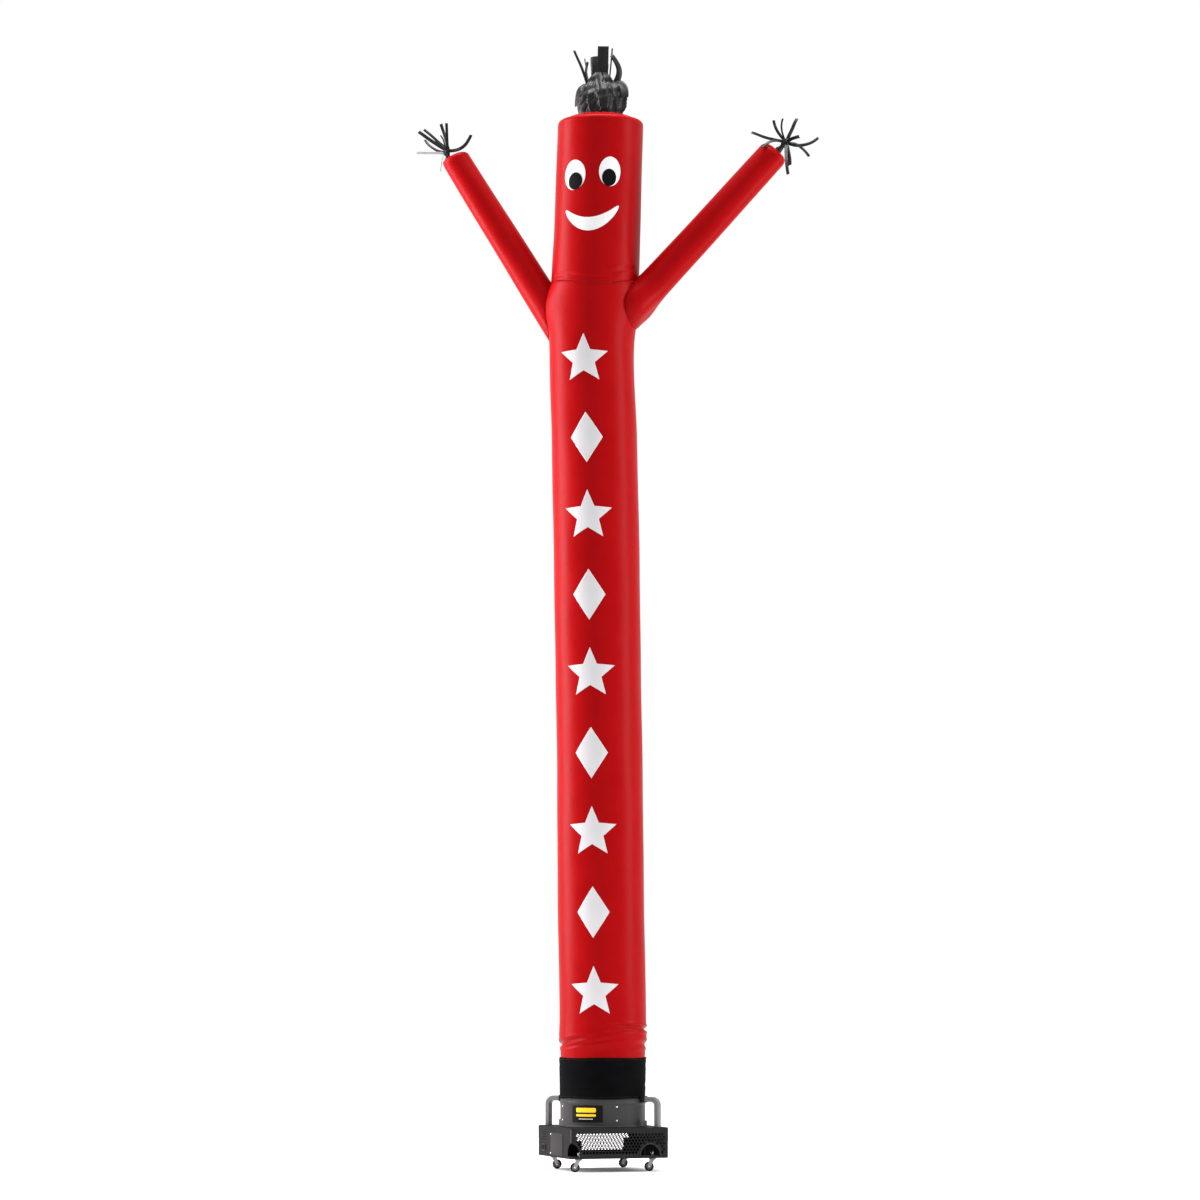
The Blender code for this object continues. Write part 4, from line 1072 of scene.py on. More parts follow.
HAIR_STRIPS = (
    Strip((0.011, -0.018), (0.011, -0.030, 0.189), (0.0, 0.0), 0.060, 0.0),
    Strip((-0.024, -0.020), (-0.013, 0.012, 0.149), (0.0, 0.0), 0.052, -8.0),
    Strip((-0.068, -0.047), (-0.074, -0.020, 0.204), (0.010, 0.0), 0.015, 10.0, 0.5),
    Strip((-0.058, -0.040), (-0.018, -0.045, 0.144), (-0.010, 0.0), 0.008, -30.0),
    Strip((-0.061, -0.050), (-0.017, 0.030, 0.153), (-0.030, 0.0), 0.014, 25.0),
    Strip((0.044, -0.039), (0.013, 0.035, 0.214), (0.0, 0.0), 0.008, 20.0),
    Strip((0.062, -0.053), (0.001, -0.020, 0.174), (0.085, 0.0), 0.036, 25.0, 0.6),
    Strip((0.042, -0.042), (0.101, -0.055, -0.081), (0.050, 0.080), 0.044, -35.0, 0.4),
    Strip((0.014, -0.024), (-0.008, 0.085, 0.128), (0.0, 0.0), 0.040, 15.0),
    Strip((-0.029, -0.023), (-0.028, 0.075, 0.116), (0.0, 0.0), 0.034, -40.0),
    Strip((-0.052, -0.044), (-0.063, -0.055, -0.110), (-0.050, 0.070), 0.046, 15.0, 0.7),
)


@dataclass
class HairNeck:
    """Gathered cloth that comes out of the head: rings whose pleats deepen and close at the top."""

    room: Workroom
    heights: tuple[float, ...] = (5.592, 5.614, 5.645, 5.672, 5.730, 5.785, 5.819, 5.850, 5.878)
    shifts: tuple[float, ...] = (-0.012, -0.012, -0.011, -0.008, -0.002, -0.002, -0.010, -0.011, -0.011)
    radii: tuple[float, ...] = (0.138, 0.116, 0.114, 0.121, 0.124, 0.100, 0.072, 0.056, 0.032)
    pleats: tuple[float, ...] = (0.000, 0.003, 0.006, 0.012, 0.018, 0.019, 0.015, 0.010, 0.006)
    columns: int = 180
    rows: int = 120

    def build(self) -> bpy.types.Object:
        """The neck: a ring's reach is its radius plus sharp pleats of three uneven, drifting waves."""
        heights = np.linspace(self.heights[0], self.heights[-1], self.rows)[:, None]
        angles = (np.arange(self.columns) * 2 * np.pi / self.columns)[None, :]
        radius = smooth_between(heights, self.heights, self.radii)
        depth = smooth_between(heights, self.heights, self.pleats)
        shift = smooth_between(heights, self.heights, self.shifts)
        drift = 9.0 * heights
        broad = np.cos(6 * angles + drift)
        sharp = 1.0 - np.abs(np.sin(5.5 * angles + 14.0 * heights + 0.6 * np.sin(3 * angles)))
        fine = 1.0 - np.abs(np.sin(11 * angles - 21.0 * heights + np.sin(2 * angles + 30.0 * heights)))
        crumple = np.sin(4 * angles + 60.0 * heights) * np.sin(7 * angles - 45.0 * heights)
        reach = radius + depth * (0.55 * broad + 0.75 * sharp**2 - 0.45 * fine**3 + 0.28 * crumple)
        x = shift + reach * np.cos(angles)
        grid = self.room.axis + np.stack(
            [x, reach * np.sin(angles), np.broadcast_to(heights, x.shape)], axis=-1
        )
        edges = np.arange(self.columns + 1) * 2 * np.pi / self.columns * 0.12
        cloth = add_mesh_with_caps("hair_neck", grid, edges, heights[:, 0])
        return self.room.fit(cloth, self.room.finishes.black, Slot.BLACK, ["hair"])


def add_mesh_with_caps(name: str, grid: Array, across: Array, along: Array) -> bpy.types.Object:
    """A round surface closed at both ends by one face each, with its flat-cloth map."""
    rows, columns = grid.shape[:2]
    cells = grid_faces(rows, columns, True).reshape(-1, 4)
    flat = cell_places(along, across).reshape(-1, 2)
    ends = np.zeros((2 * columns, 2))
    faces = cells.tolist() + [
        list(range(columns - 1, -1, -1)), list(range((rows - 1) * columns, rows * columns))
    ]
    obj = add_mesh(name, grid, faces)
    layer = obj.data.uv_layers.new(name="cloth")
    layer.data.foreach_set("uv", np.vstack([flat, ends]).astype(np.float32).reshape(-1))
    return obj


@dataclass
class HandStem:
    """The gathered stem that carries a hand's streamers from inside the arm to the knot."""

    room: Workroom
    sleeve: ArmSleeve
    knot: tuple[float, float, float]
    name: str
    node: str
    shares: tuple[float, ...] = (0.0, 0.28, 0.60, 0.88, 1.10, 1.28)
    radii: tuple[float, ...] = (0.022, 0.019, 0.012, 0.018, 0.017, 0.008)
    columns: int = 48
    rows: int = 30

    def build(self) -> bpy.types.Object:
        """The stem: pleated rings along a straight line, narrow at the tie and full at the knot."""
        start, along, side, length = self.sleeve.frame()
        root = start + (length - 0.016) * along + self.sleeve.hand_shift * side
        reach = self.room.axis + np.array(self.knot) - root
        across = np.array([0.0, 1.0, 0.0])
        flat = np.cross(across, unit(reach))
        share = np.linspace(self.shares[0], self.shares[-1], self.rows)[:, None]
        angles = (np.arange(self.columns) * 2 * np.pi / self.columns)[None, :]
        radius = smooth_between(share, self.shares, self.radii)
        pleats = 1.0 - np.abs(np.sin(4 * angles + 3.0 * share))
        radius = radius * (0.84 + 0.26 * pleats + 0.06 * np.sin(9 * angles + 20.0 * share))
        directions = np.cos(angles)[..., None] * flat + np.sin(angles)[..., None] * across
        grid = root + share[..., None] * reach + radius[..., None] * directions
        edges = np.arange(self.columns + 1) * 2 * np.pi / self.columns * 0.02
        cloth = add_mesh_with_caps(self.name, grid, edges, share[:, 0] * float(np.linalg.norm(reach)))
        return self.room.fit(cloth, self.room.finishes.black, Slot.BLACK, [self.node])


def concentric(boundary: Callable[[Array], Array], count: int) -> Array:
    """A grid of points that fills a shape without a pole.

    Squares round the middle of a square grid become scaled copies of the shape's outline, and a place's
    share of its square's way round is its share of the outline.

    Args:
        boundary: outline places for shares from 0 to 1, from the right-hand side anticlockwise.
        count: cells along each side of the grid.

    Returns:
        (count + 1, count + 1, 2) places.
    """
    line = np.linspace(-1.0, 1.0, count + 1)
    u, v = np.meshgrid(line, line)
    size = np.maximum(np.abs(u), np.abs(v))
    safe = np.where(size == 0, 1.0, size)
    right, top = v / (8 * safe), 0.25 - u / (8 * safe)
    left, bottom = 0.5 - v / (8 * safe), 0.75 + u / (8 * safe)
    tall = np.abs(v) > np.abs(u)
    share = np.where(tall, np.where(v > 0, top, bottom), np.where(u > 0, right, left)) % 1.0
    return boundary(share) * size[..., None]


@dataclass(frozen=True)
class Outline:
    """A patch's outline as named kinds of curve."""

    width: float
    height: float

    def oval(self, share: Array) -> Array:
        """An ellipse."""
        angle = 2 * np.pi * share
        return np.stack([self.width / 2 * np.cos(angle), self.height / 2 * np.sin(angle)], axis=-1)

    def star(self, share: Array) -> Array:
        """A five-pointed star whose inner corners lie at 0.45 of the tips' radius; width is the radius."""
        corner = np.arange(11)
        angle = np.radians(18.0 + 36.0 * corner)
        radius = self.width * np.where(corner % 2 == 0, 1.0, 0.45)
        at = (share - 0.05) % 1.0
        x = np.interp(at, corner / 10, radius * np.cos(angle))
        return np.stack([x, np.interp(at, corner / 10, radius * np.sin(angle))], axis=-1)

    def lozenge(self, share: Array) -> Array:
        """An upright lozenge, its corners at the quarters."""
        at = np.arange(5) / 4
        x = np.interp(share, at, np.array([1.0, 0.0, -1.0, 0.0, 1.0]) * self.width / 2)
        return np.stack(
            [x, np.interp(share, at, np.array([0.0, 1.0, 0.0, -1.0, 0.0]) * self.height / 2)], axis=-1
        )

    def lens(self, share: Array) -> Array:
        """A long patch, full in its middle and rounded at both ends: its half height is a root of 1 - x^2."""
        angle = 2 * np.pi * share
        x = np.cos(angle)
        y = np.sign(np.sin(angle)) * np.abs(np.sin(angle)) ** 0.9
        return np.stack([self.width / 2 * x, self.height / 2 * y], axis=-1)


@dataclass(frozen=True)
class Eye:
    """One eye: its side, the place of its middle on the head, and the sizes and place of its pupil."""

    side: str
    turn: float
    height: float
    size: tuple[float, float]
    pupil: tuple[float, float]
    pupil_place: tuple[float, float]


EYES = (
    Eye("left", -23.3, 5.285, (0.132, 0.163), (0.086, 0.094), (0.006, -0.034)),
    Eye("right", 26.0, 5.298, (0.119, 0.160), (0.078, 0.094), (-0.004, -0.033)),
)


@dataclass
class Trim:
    """Appliqués cut flat and laid on the tubes: the face, and plain stars and lozenges up the front."""

    room: Workroom
    cloth: float = 0.0008
    gap: float = 0.0005
    cells: int = 40
    motifs: int = 9
    motif_lowest: float = 0.935
    motif_highest: float = 4.290
    pieces: list[bpy.types.Object] = field(default_factory=list)
    face: list[bpy.types.Object] = field(default_factory=list)

    def lay(
        self, name: str, flat: Array, tube: Tube, turn: float, height: float, gap: float
    ) -> bpy.types.Object:
        """Wraps a flat grid round a tube: across becomes turn, up stays up.

        Args:
            name: the piece's name.
            flat: (rows, columns, 2) places on the flat cloth.
            tube: the tube under it.
            turn: turn of the patch's middle, in degrees.
            height: height of its middle.
            gap: distance from the tube's surface.

        Returns:
            The patch, thickened outwards.
        """
        radius = float(tube.radius(np.array(height)))
        turns = turn + np.degrees(flat[..., 0] / radius)
        grid = tube.point(self.room.axis, turns, height + flat[..., 1], gap)
        rows, columns = grid.shape[:2]
        cells = grid_faces(rows, columns, False).reshape(-1, 4)
        patch = add_mesh(name, grid, cells, flat.reshape(-1, 2)[cells])
        thicken(patch, self.cloth, 1.0)
        return patch

    def smile(self) -> Array:
        """The smile's flat grid: a rounded lens, bent up along a parabola and tilted a little."""
        flat = concentric(Outline(0.306, 0.072).lens, self.cells)
        flat[..., 1] += 0.087 * (flat[..., 0] / 0.153) ** 2 + 0.06 * flat[..., 0] - 0.087
        return flat

    def build_face(self) -> None:
        """Eyes with their pupils, and the smile."""
        white, black = self.room.finishes.eye, self.room.finishes.pupil
        over = self.gap + self.cloth + 0.0004
        for eye in EYES:
            flat = concentric(Outline(*eye.size).oval, self.cells)
            patch = self.lay(f"eye_{eye.side}_patch", flat, HEAD_TUBE, eye.turn, eye.height, self.gap)
            self.face.append(self.room.fit(patch, white, Slot.WHITE, [f"eye_{eye.side}"]))
            flat = concentric(Outline(*eye.pupil).oval, self.cells) + np.array(eye.pupil_place)
            patch = self.lay(f"pupil_{eye.side}_patch", flat, HEAD_TUBE, eye.turn, eye.height, over)
            self.face.append(self.room.fit(patch, black, Slot.BLACK, [f"pupil_{eye.side}"]))
        smile = self.lay("smile_patch", self.smile(), HEAD_TUBE, 1.7, 5.102, self.gap)
        self.face.append(self.room.fit(smile, white, Slot.WHITE, ["smile"]))

    def build_motifs(self) -> None:
        """Stars and lozenges by turns, evenly spaced."""
        star, lozenge = Outline(0.138, 0.276).star, Outline(0.176, 0.270).lozenge
        pitch = (self.motif_highest - self.motif_lowest) / (self.motifs - 1)
        for number in range(self.motifs):
            flat = concentric(star if number % 2 == 0 else lozenge, self.cells)
            height = self.motif_highest - number * pitch
            name = f"motif_patch_{number + 1}"
            patch = self.lay(name, flat, BODY_TUBE, 0.0, height, self.gap)
            self.pieces.append(
                self.room.fit(patch, self.room.finishes.white, Slot.WHITE, [f"motif_{number + 1}"])
            )


@dataclass
class Cuff:
    """The black band that grips the ring, with its hems and its closing flap."""

    room: Workroom
    cloth: float = 0.0018
    columns: int = 144
    flap_turn: float = -84.0
    flap_size: tuple[float, float] = (0.075, 0.200)

    def tube(self) -> Tube:
        """The band's outer surface, a little uneven where it is drawn tight."""
        bottom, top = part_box("cuff")[0][2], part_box("cuff")[1][2]
        middle = (bottom + top) / 2
        return Tube(
            (bottom, middle, top),
            (0.0, 0.0, 0.0),
            (0.2248, 0.2268, 0.2290),
            (
                Fold(-60.0, 0.415, 40.0, 0.428, 0.010, 0.0016),
                Fold(10.0, 0.560, 120.0, 0.548, 0.012, 0.0018),
                Fold(70.0, 0.455, 160.0, 0.440, 0.012, 0.0020),
                Fold(-150.0, 0.540, -60.0, 0.556, 0.012, 0.0018),
            ),
            (),
            0.0005,
        )

    def build(self) -> bpy.types.Object:
        """The band, with a rolled hem top and bottom, its stitches and its flap."""
        tube = self.tube()
        bottom, top = tube.heights[0], tube.heights[-1]
        heights = np.linspace(bottom + 0.0005, top - 0.0005, 56)
        turns, edges = ring_turns(self.columns)
        grid = tube.point(self.room.axis, turns[None, :], heights[:, None])
        hem = np.exp(
            -(((heights - bottom - 0.004) / 0.004) ** 2)
        ) + np.exp(-(((heights - top + 0.004) / 0.004) ** 2))
        angles = np.radians(turns)
        outwards = np.stack([np.sin(angles), -np.cos(angles), np.zeros(len(turns))], axis=-1)
        grid = grid + 0.0009 * hem[:, None, None] * outwards[None]
        grid[..., 2] += 0.0012 * np.sin(4 * angles + 0.5)[None, :] * np.linspace(-1.0, 1.0, 56)[:, None]
        band = add_surface("cuff_band", grid, np.radians(edges) * 0.227, heights)
        thicken(band, self.cloth)
        self.room.fit(band, self.room.finishes.cuff, Slot.CUFF, ["cuff"])
        lines = [round_line(tube, self.room.axis, z, 0.0007) for z in (bottom + 0.010, top - 0.010)]
        threads = Stitching(0.0058, 0.0040, 0.0010).add("cuff_stitches", lines)
        self.threads = self.room.fit(threads, self.room.finishes.black_thread, Slot.CUFF)
        self.flap = self.build_flap(tube, (bottom + top) / 2)
        return band

    def build_flap(self, tube: Tube, middle: float) -> bpy.types.Object:
        """The flap: a strip with rounded corners, its loose edge lifted off the band."""
        width, height = self.flap_size
        s, t = np.linspace(-1.0, 1.0, 24), np.linspace(-1.0, 1.0, 60)
        corner = 1.0 - 0.06 * np.clip((np.abs(t) - 0.93) / 0.07, 0.0, 1.0) ** 2
        x = s[None, :] * width / 2 * corner[:, None]
        turns = self.flap_turn + np.degrees(x / 0.227)
        lift = 0.0014 + 0.0042 * np.clip(-s, 0.0, 1.0)[None, :] ** 3 * (1.0 + 0.35 * np.sin(5.0 * t))[:, None]
        heights = np.broadcast_to((middle + t * height / 2)[:, None], turns.shape)
        grid = tube.point(self.room.axis, turns, heights, 0.0)
        angles = np.radians(turns)
        grid = grid + lift[..., None] * np.stack(
            [np.sin(angles), -np.cos(angles), np.zeros_like(angles)], axis=-1
        )
        flap = add_surface("cuff_flap_strip", grid, s * width / 2, t * height / 2, round_columns=False)
        thicken(flap, 0.0014, 1.0)
        return self.room.fit(flap, self.room.finishes.flap, Slot.CUFF, ["cuff_flap"])


def lathe(profile: Array, columns: int) -> Array:
    """Turns (radius, height) rows about Z: a grid of (radius cos a, radius sin a, height)."""
    angles = np.arange(columns) * 2 * np.pi / columns
    radius, height = profile[:, :1], profile[:, 1:]
    flat = np.broadcast_to(height, (len(profile), columns))
    return np.stack([radius * np.cos(angles), radius * np.sin(angles), flat], axis=-1)


def rounded(corners: Sequence[tuple[float, float]], radius: float, steps: int = 4) -> Array:
    """A closed profile with its corners rounded: each is a quadratic curve between points near it.

    Args:
        corners: the profile's corners in order.
        radius: how far from each corner its curve starts, at most 0.45 of the shorter side there.
        steps: points along each curve.

    Returns:
        (points, 2) places.
    """
    here = np.array(corners, float)
    back, ahead = np.roll(here, 1, axis=0) - here, np.roll(here, -1, axis=0) - here
    reach = np.minimum(radius, 0.45 * np.minimum(np.linalg.norm(back, axis=1), np.linalg.norm(ahead, axis=1)))
    start, end = here + unit(back) * reach[:, None], here + unit(ahead) * reach[:, None]
    t = np.linspace(0.0, 1.0, steps)[None, :, None]
    curve = (1 - t) ** 2 * start[:, None] + 2 * t * (1 - t) * here[:, None] + t * t * end[:, None]
    return curve.reshape(-1, 2)


def oriented(grid: Array, places: Array, normals: Array, ups: Array) -> Array:
    """Copies of a small shape, its Z set along each normal, as (copies, *grid.shape) points."""
    side = unit(np.cross(ups, normals))
    true_up = np.cross(normals, side)
    basis = np.stack([side, true_up, normals], axis=-2)
    flat = grid.reshape(-1, 3)
    copies = np.einsum("pk,nkc->npc", flat, basis) + places[:, None]
    return copies.reshape(len(places), *grid.shape)


def add_copies(name: str, grid: Array, places: Array, normals: Array, ups: Array) -> bpy.types.Object:
    """One mesh of many lathe-turned copies, each closed at its top and bottom by one face."""
    copies = oriented(grid, places, normals, ups)
    rows, columns = grid.shape[:2]
    cells = grid_faces(rows, columns, True).reshape(-1, 4).tolist()
    cells += [list(range(columns - 1, -1, -1)), list(range((rows - 1) * columns, rows * columns))]
    per = rows * columns
    faces = [[corner + number * per for corner in cell] for number in range(len(places)) for cell in cells]
    return add_mesh(name, copies, faces)


@dataclass
class Blower:
    """The blower: ring duct, sheet-metal case, handles, controls and label."""

    room: Workroom
    turn: float = 30.0
    case: float = 0.540
    bottom: float = 0.070
    top: float = 0.230
    sheet: float = 0.0022
    corner: float = 0.005
    ring_outer: float = 0.2245
    ring_inner: float = 0.2170
    spigot: float = 0.2203
    shoulder: float = 0.374
    ring_top: float = 0.430
    hole_pitch: tuple[float, float] = (0.0180, 0.0155)
    hole_size: tuple[float, float] = (0.0140, 0.0166)
    hole_rows: int = 7
    hole_lowest: float = 0.1010
    hole_span: tuple[float, float] = (-0.232, 0.250)
    arch_x: float = 0.170
    arch: tuple[float, float] = (0.053, 0.058)
    corner_arch: tuple[float, float] = (0.036, 0.066)
    sill: float = 0.085
    handle_reach: float = 0.332
    handle_top: float = 0.386
    handle_bar: float = 0.025
    handle_depth: float = 0.038
    handle_bend: float = 0.044

    def set_down(self, places: Array) -> Array:
        """Carries places from the blower's own frame to the object's: a turn about Z, then the axis."""
        a = math.radians(self.turn)
        spin = np.array([[math.cos(a), math.sin(a), 0.0], [-math.sin(a), math.cos(a), 0.0], [0.0, 0.0, 1.0]])
        return places @ spin + self.room.axis

    def spun(self, places: Array, degrees: float) -> Array:
        """Places turned about the blower's own Z."""
        a = math.radians(degrees)
        spin = np.array([[math.cos(a), math.sin(a), 0.0], [-math.sin(a), math.cos(a), 0.0], [0.0, 0.0, 1.0]])
        return places @ spin

    def build_ring(self) -> bpy.types.Object:
        """The duct: a turned sheet-metal profile with lip, bead and spigot."""
        base = self.top + 0.0003
        corners = [
            (self.spigot, self.ring_top),
            (self.ring_inner, self.ring_top),
            (self.ring_inner, base),
            (self.ring_outer + 0.006, base),
            (self.ring_outer + 0.006, base + 0.004),
            (self.ring_outer, base + 0.008),
            (self.ring_outer, self.shoulder - 0.027),
            (self.ring_outer + 0.002, self.shoulder - 0.024),
            (self.ring_outer + 0.002, self.shoulder - 0.014),
            (self.ring_outer, self.shoulder - 0.011),
            (self.ring_outer + 0.0005, self.shoulder - 0.002),
            (self.spigot, self.shoulder + 0.001),
        ]
        profile = rounded(corners, 0.0025, 5)
        grid = self.set_down(lathe(profile, 160))
        ring = add_surface("ring_duct", grid, round_rows=True)
        sharpen(ring, 40.0)
        return self.room.fit(ring, self.room.finishes.ring, Slot.GREY_ENAMEL, ["blower_ring"])

    def build_screws(self) -> bpy.types.Object:
        """Dome-headed screws in pairs on the ring and two at the cover plate's far edge."""
        profile = np.array(
            [(0.0050, -0.0004), (0.0050, 0.0006), (0.0044, 0.0018), (0.0026, 0.0026), (0.0008, 0.0028)]
        )
        head = lathe(profile, 14)
        directions = np.radians(np.repeat([0.0, 90.0, 180.0, 270.0], 2))
        heights = np.tile([0.265, 0.337], 4)
        out = np.stack([np.sin(directions), -np.cos(directions), np.zeros(8)], axis=-1)
        places = out * self.ring_outer + np.stack([np.zeros(8), np.zeros(8), heights], axis=-1)
        cover = np.array([[-self.case / 2 - 0.0030, 0.050, z] for z in (0.091, 0.189)])
        places = np.vstack([places, cover])
        out = np.vstack([out, np.array([[-1.0, 0.0, 0.0]] * 2)])
        normals = self.set_down(out) - self.room.axis
        ups = np.broadcast_to(np.array([0.0, 0.0, 1.0]), normals.shape)
        screws = add_copies("case_screws", head, self.set_down(places), normals, ups)
        return self.room.fit(screws, self.room.finishes.zinc, Slot.ZINC)

    def outline(self, half: float, corner: float, steps: int = 7, edge: int = 22) -> Array:
        """A square with round corners, anticlockwise from the middle of its front side."""
        side = np.linspace(-half + corner, half - corner, edge)
        bend = np.radians(np.linspace(-90.0, 0.0, steps)[1:-1])
        straight = np.stack([side, np.full(edge, -half)], axis=-1)
        curve = np.stack(
            [half - corner + corner * np.cos(bend), corner - half + corner * np.sin(bend)], axis=-1
        )
        quarter = np.vstack([straight, curve])
        flat = [
            self.spun(np.pad(quarter, ((0, 0), (0, 1))), turn)[:, :2] for turn in (0.0, 90.0, 180.0, 270.0)
        ]
        return np.vstack(flat)

    def prisms(
        self, name: str, outline: Array, centres: Array, depth: float, turn: float
    ) -> bpy.types.Object:
        """Cutter: copies of an outline in XZ, set through a wall that faces -Y, then turned.

        Args:
            name: the cutter's name.
            outline: (n, 2) places of one hole about its centre, anticlockwise.
            centres: (m, 2) places of the holes in the wall.
            depth: how thick the cutter is.
            turn: degrees that the wall is turned about the blower's Z.

        Returns:
            The cutter.
        """
        count, corners = len(centres), len(outline)
        flat = centres[:, None] + outline[None]
        wall = -self.case / 2
        layers = []
        for y in (wall - depth / 2, wall + depth / 2):
            layers.append(np.stack([flat[..., 0], np.full(flat.shape[:2], y), flat[..., 1]], axis=-1))
        points = self.set_down(self.spun(np.stack(layers, axis=1).reshape(-1, 3), turn))
        sides = [[i, (i + 1) % corners, corners + (i + 1) % corners, corners + i] for i in range(corners)]
        ends = [list(range(corners - 1, -1, -1)), list(range(corners, 2 * corners))]
        faces = [[c + n * 2 * corners for c in face] for n in range(count) for face in sides + ends]
        mesh = bpy.data.meshes.new(name)
        mesh.from_pydata(points.tolist(), [], [face[::-1] for face in faces])
        cutter = bpy.data.objects.new(name, mesh)
        bpy.context.scene.collection.objects.link(cutter)
        return cutter

    def grille_centres(self) -> Array:
        """Staggered hole centres in the front panel, clear of both arches."""
        rows = np.arange(self.hole_rows)
        columns = np.arange(int((self.hole_span[1] - self.hole_span[0]) / self.hole_pitch[0]) + 1)
        x = self.hole_span[0] + (columns[None, :] + 0.5 * (rows[:, None] % 2)) * self.hole_pitch[0]
        z = np.broadcast_to(self.hole_lowest + rows[:, None] * self.hole_pitch[1], x.shape)
        spare = self.hole_size[0] / 2 + 0.005
        over = (z - self.sill) / (self.arch[1] + spare)
        in_arch = ((x - self.arch_x) / (self.arch[0] + spare)) ** 2 + over**2 < 1.0
        from_corner = (x + self.case / 2) / (self.corner_arch[0] * math.sqrt(2.0) + spare)
        in_corner = from_corner**2 + ((z - self.sill) / (self.corner_arch[1] + spare)) ** 2 < 1.0
        keep = ~in_arch & ~in_corner & (x < self.hole_span[1])
        return np.stack([x[keep], z[keep]], axis=-1)

    def arch_outline(self, half: float, height: float) -> Array:
        """A half ellipse on a straight sill, anticlockwise."""
        angles = np.radians(np.linspace(0.0, 180.0, 25))
        return np.stack([half * np.cos(angles), self.sill + height * np.sin(angles)], axis=-1)

    def cutters(self) -> list[bpy.types.Object]:
        """Everything that is cut from the case's walls: grilles, arches and vents."""
        angles = np.radians(np.arange(10) * 36.0)
        corners = np.radians(np.arange(6) * 60.0 + 30.0)
        hole = np.stack(
            [np.cos(corners) * self.hole_size[0] / math.sqrt(3.0), np.sin(corners) * self.hole_size[1] / 2],
            axis=-1,
        )
        centres = self.grille_centres()
        found = [self.prisms(f"grille_{turn}", hole, centres, 0.012, float(turn)) for turn in (0, 180)]
        for turn in (0, 180):
            arch = self.arch_outline(*self.arch) + np.array([self.arch_x, 0.0])
            found.append(self.prisms(f"arch_{turn}", arch, np.zeros((1, 2)), 0.012, float(turn)))
        found.append(self.corner_cutter())
        dot = np.stack([0.0032 * np.cos(angles), 0.0034 * np.sin(angles)], axis=-1)
        rows, columns = np.meshgrid(np.arange(4), np.arange(6), indexing="ij")
        z = 0.158 + rows.ravel() * 0.0135
        across = (columns.ravel() + 0.5 * (rows.ravel() % 2)) * 0.0135
        left = np.stack([-0.205 + across[::1], z], axis=-1)
        found.append(self.prisms("vents_left", dot, left, 0.012, -90.0))
        found.append(
            self.prisms("vents_right", dot, np.stack([-0.225 + 1.7 * across, z], axis=-1), 0.012, 90.0)
        )
        return found

    def corner_cutter(self) -> bpy.types.Object:
        """The wrap-round arch at the front left corner: a half-ellipse prism along its diagonal."""
        outline = self.arch_outline(*self.corner_arch)
        corners = len(outline)
        layers = []
        for y in (-0.05, 0.05):
            layers.append(np.stack([outline[:, 0], np.full(corners, y), outline[:, 1]], axis=-1))
        points = self.spun(np.concatenate(layers), -45.0)
        points = self.set_down(points + np.array([-self.case / 2, -self.case / 2, 0.0]))
        faces = [[i, (i + 1) % corners, corners + (i + 1) % corners, corners + i] for i in range(corners)]
        faces += [list(range(corners - 1, -1, -1)), list(range(corners, 2 * corners))]
        mesh = bpy.data.meshes.new("corner_arch")
        mesh.from_pydata(points.tolist(), [], [face[::-1] for face in faces])
        cutter = bpy.data.objects.new(mesh.name, mesh)
        bpy.context.scene.collection.objects.link(cutter)
        return cutter

    def build_case(self) -> list[bpy.types.Object]:
        """The case: cut walls with rolled edges, a top sheet round the duct, and a floor frame."""
        half = self.case / 2
        heights = np.array([0.0, 0.0008, 0.0025, 0.012, 0.148, 0.1575, 0.1592, 0.16]) + self.bottom
        inset = np.array([0.0035, 0.0012, 0.0, 0.0, 0.0, 0.0, 0.0012, 0.0035])
        rings = [np.pad(self.outline(half - i, self.corner), ((0, 0), (0, 1))) for i in inset]
        grid = np.stack(rings)
        grid[..., 2] = heights[:, None]
        walls = add_surface("case_walls", self.set_down(grid))
        thicken(walls, self.sheet)
        helpers = self.cutters()
        for helper in helpers:
            add_modifier(walls, "BOOLEAN", operation="DIFFERENCE", object=helper, solver="EXACT")
        bake(walls)
        for helper in helpers:
            bpy.data.objects.remove(helper, do_unlink=True)
        sharpen(walls)
        pieces = [self.room.fit(walls, self.room.finishes.case, Slot.DARK_ENAMEL, ["blower_case"])]
        top = self.plate("case_top", self.top - self.sheet - 0.0002, 0.2172, True)
        floor = self.plate("case_floor", self.bottom + 0.0002, self.case / 2 - 0.100, False)
        return pieces + [top, floor, self.build_lips(), *self.build_brackets(), *self.build_corner_highlights()]

    def build_brackets(self) -> list[bpy.types.Object]:
        """Upright stiffening plates behind the casters' stems, one for each corner, in near-black enamel as
        painted shade inside the arches in front of them.
        """
        wall = self.case / 2 - self.sheet - 0.001
        width, height = 0.092, 0.088
        centre = np.array([width / 2 - wall, 0.100 - self.case / 2, self.bottom + 0.0035 + height / 2])
        pieces = []
        for number in range(4):
            name = f"corner_bracket_{number + 1}"
            plate = self.rounded_box(name, np.array([width, 0.002, height]), centre, 90.0 * number, 0.0006)
            pieces.append(self.room.fit(plate, self.room.finishes.bracket, Slot.DARK_ENAMEL))
        return pieces

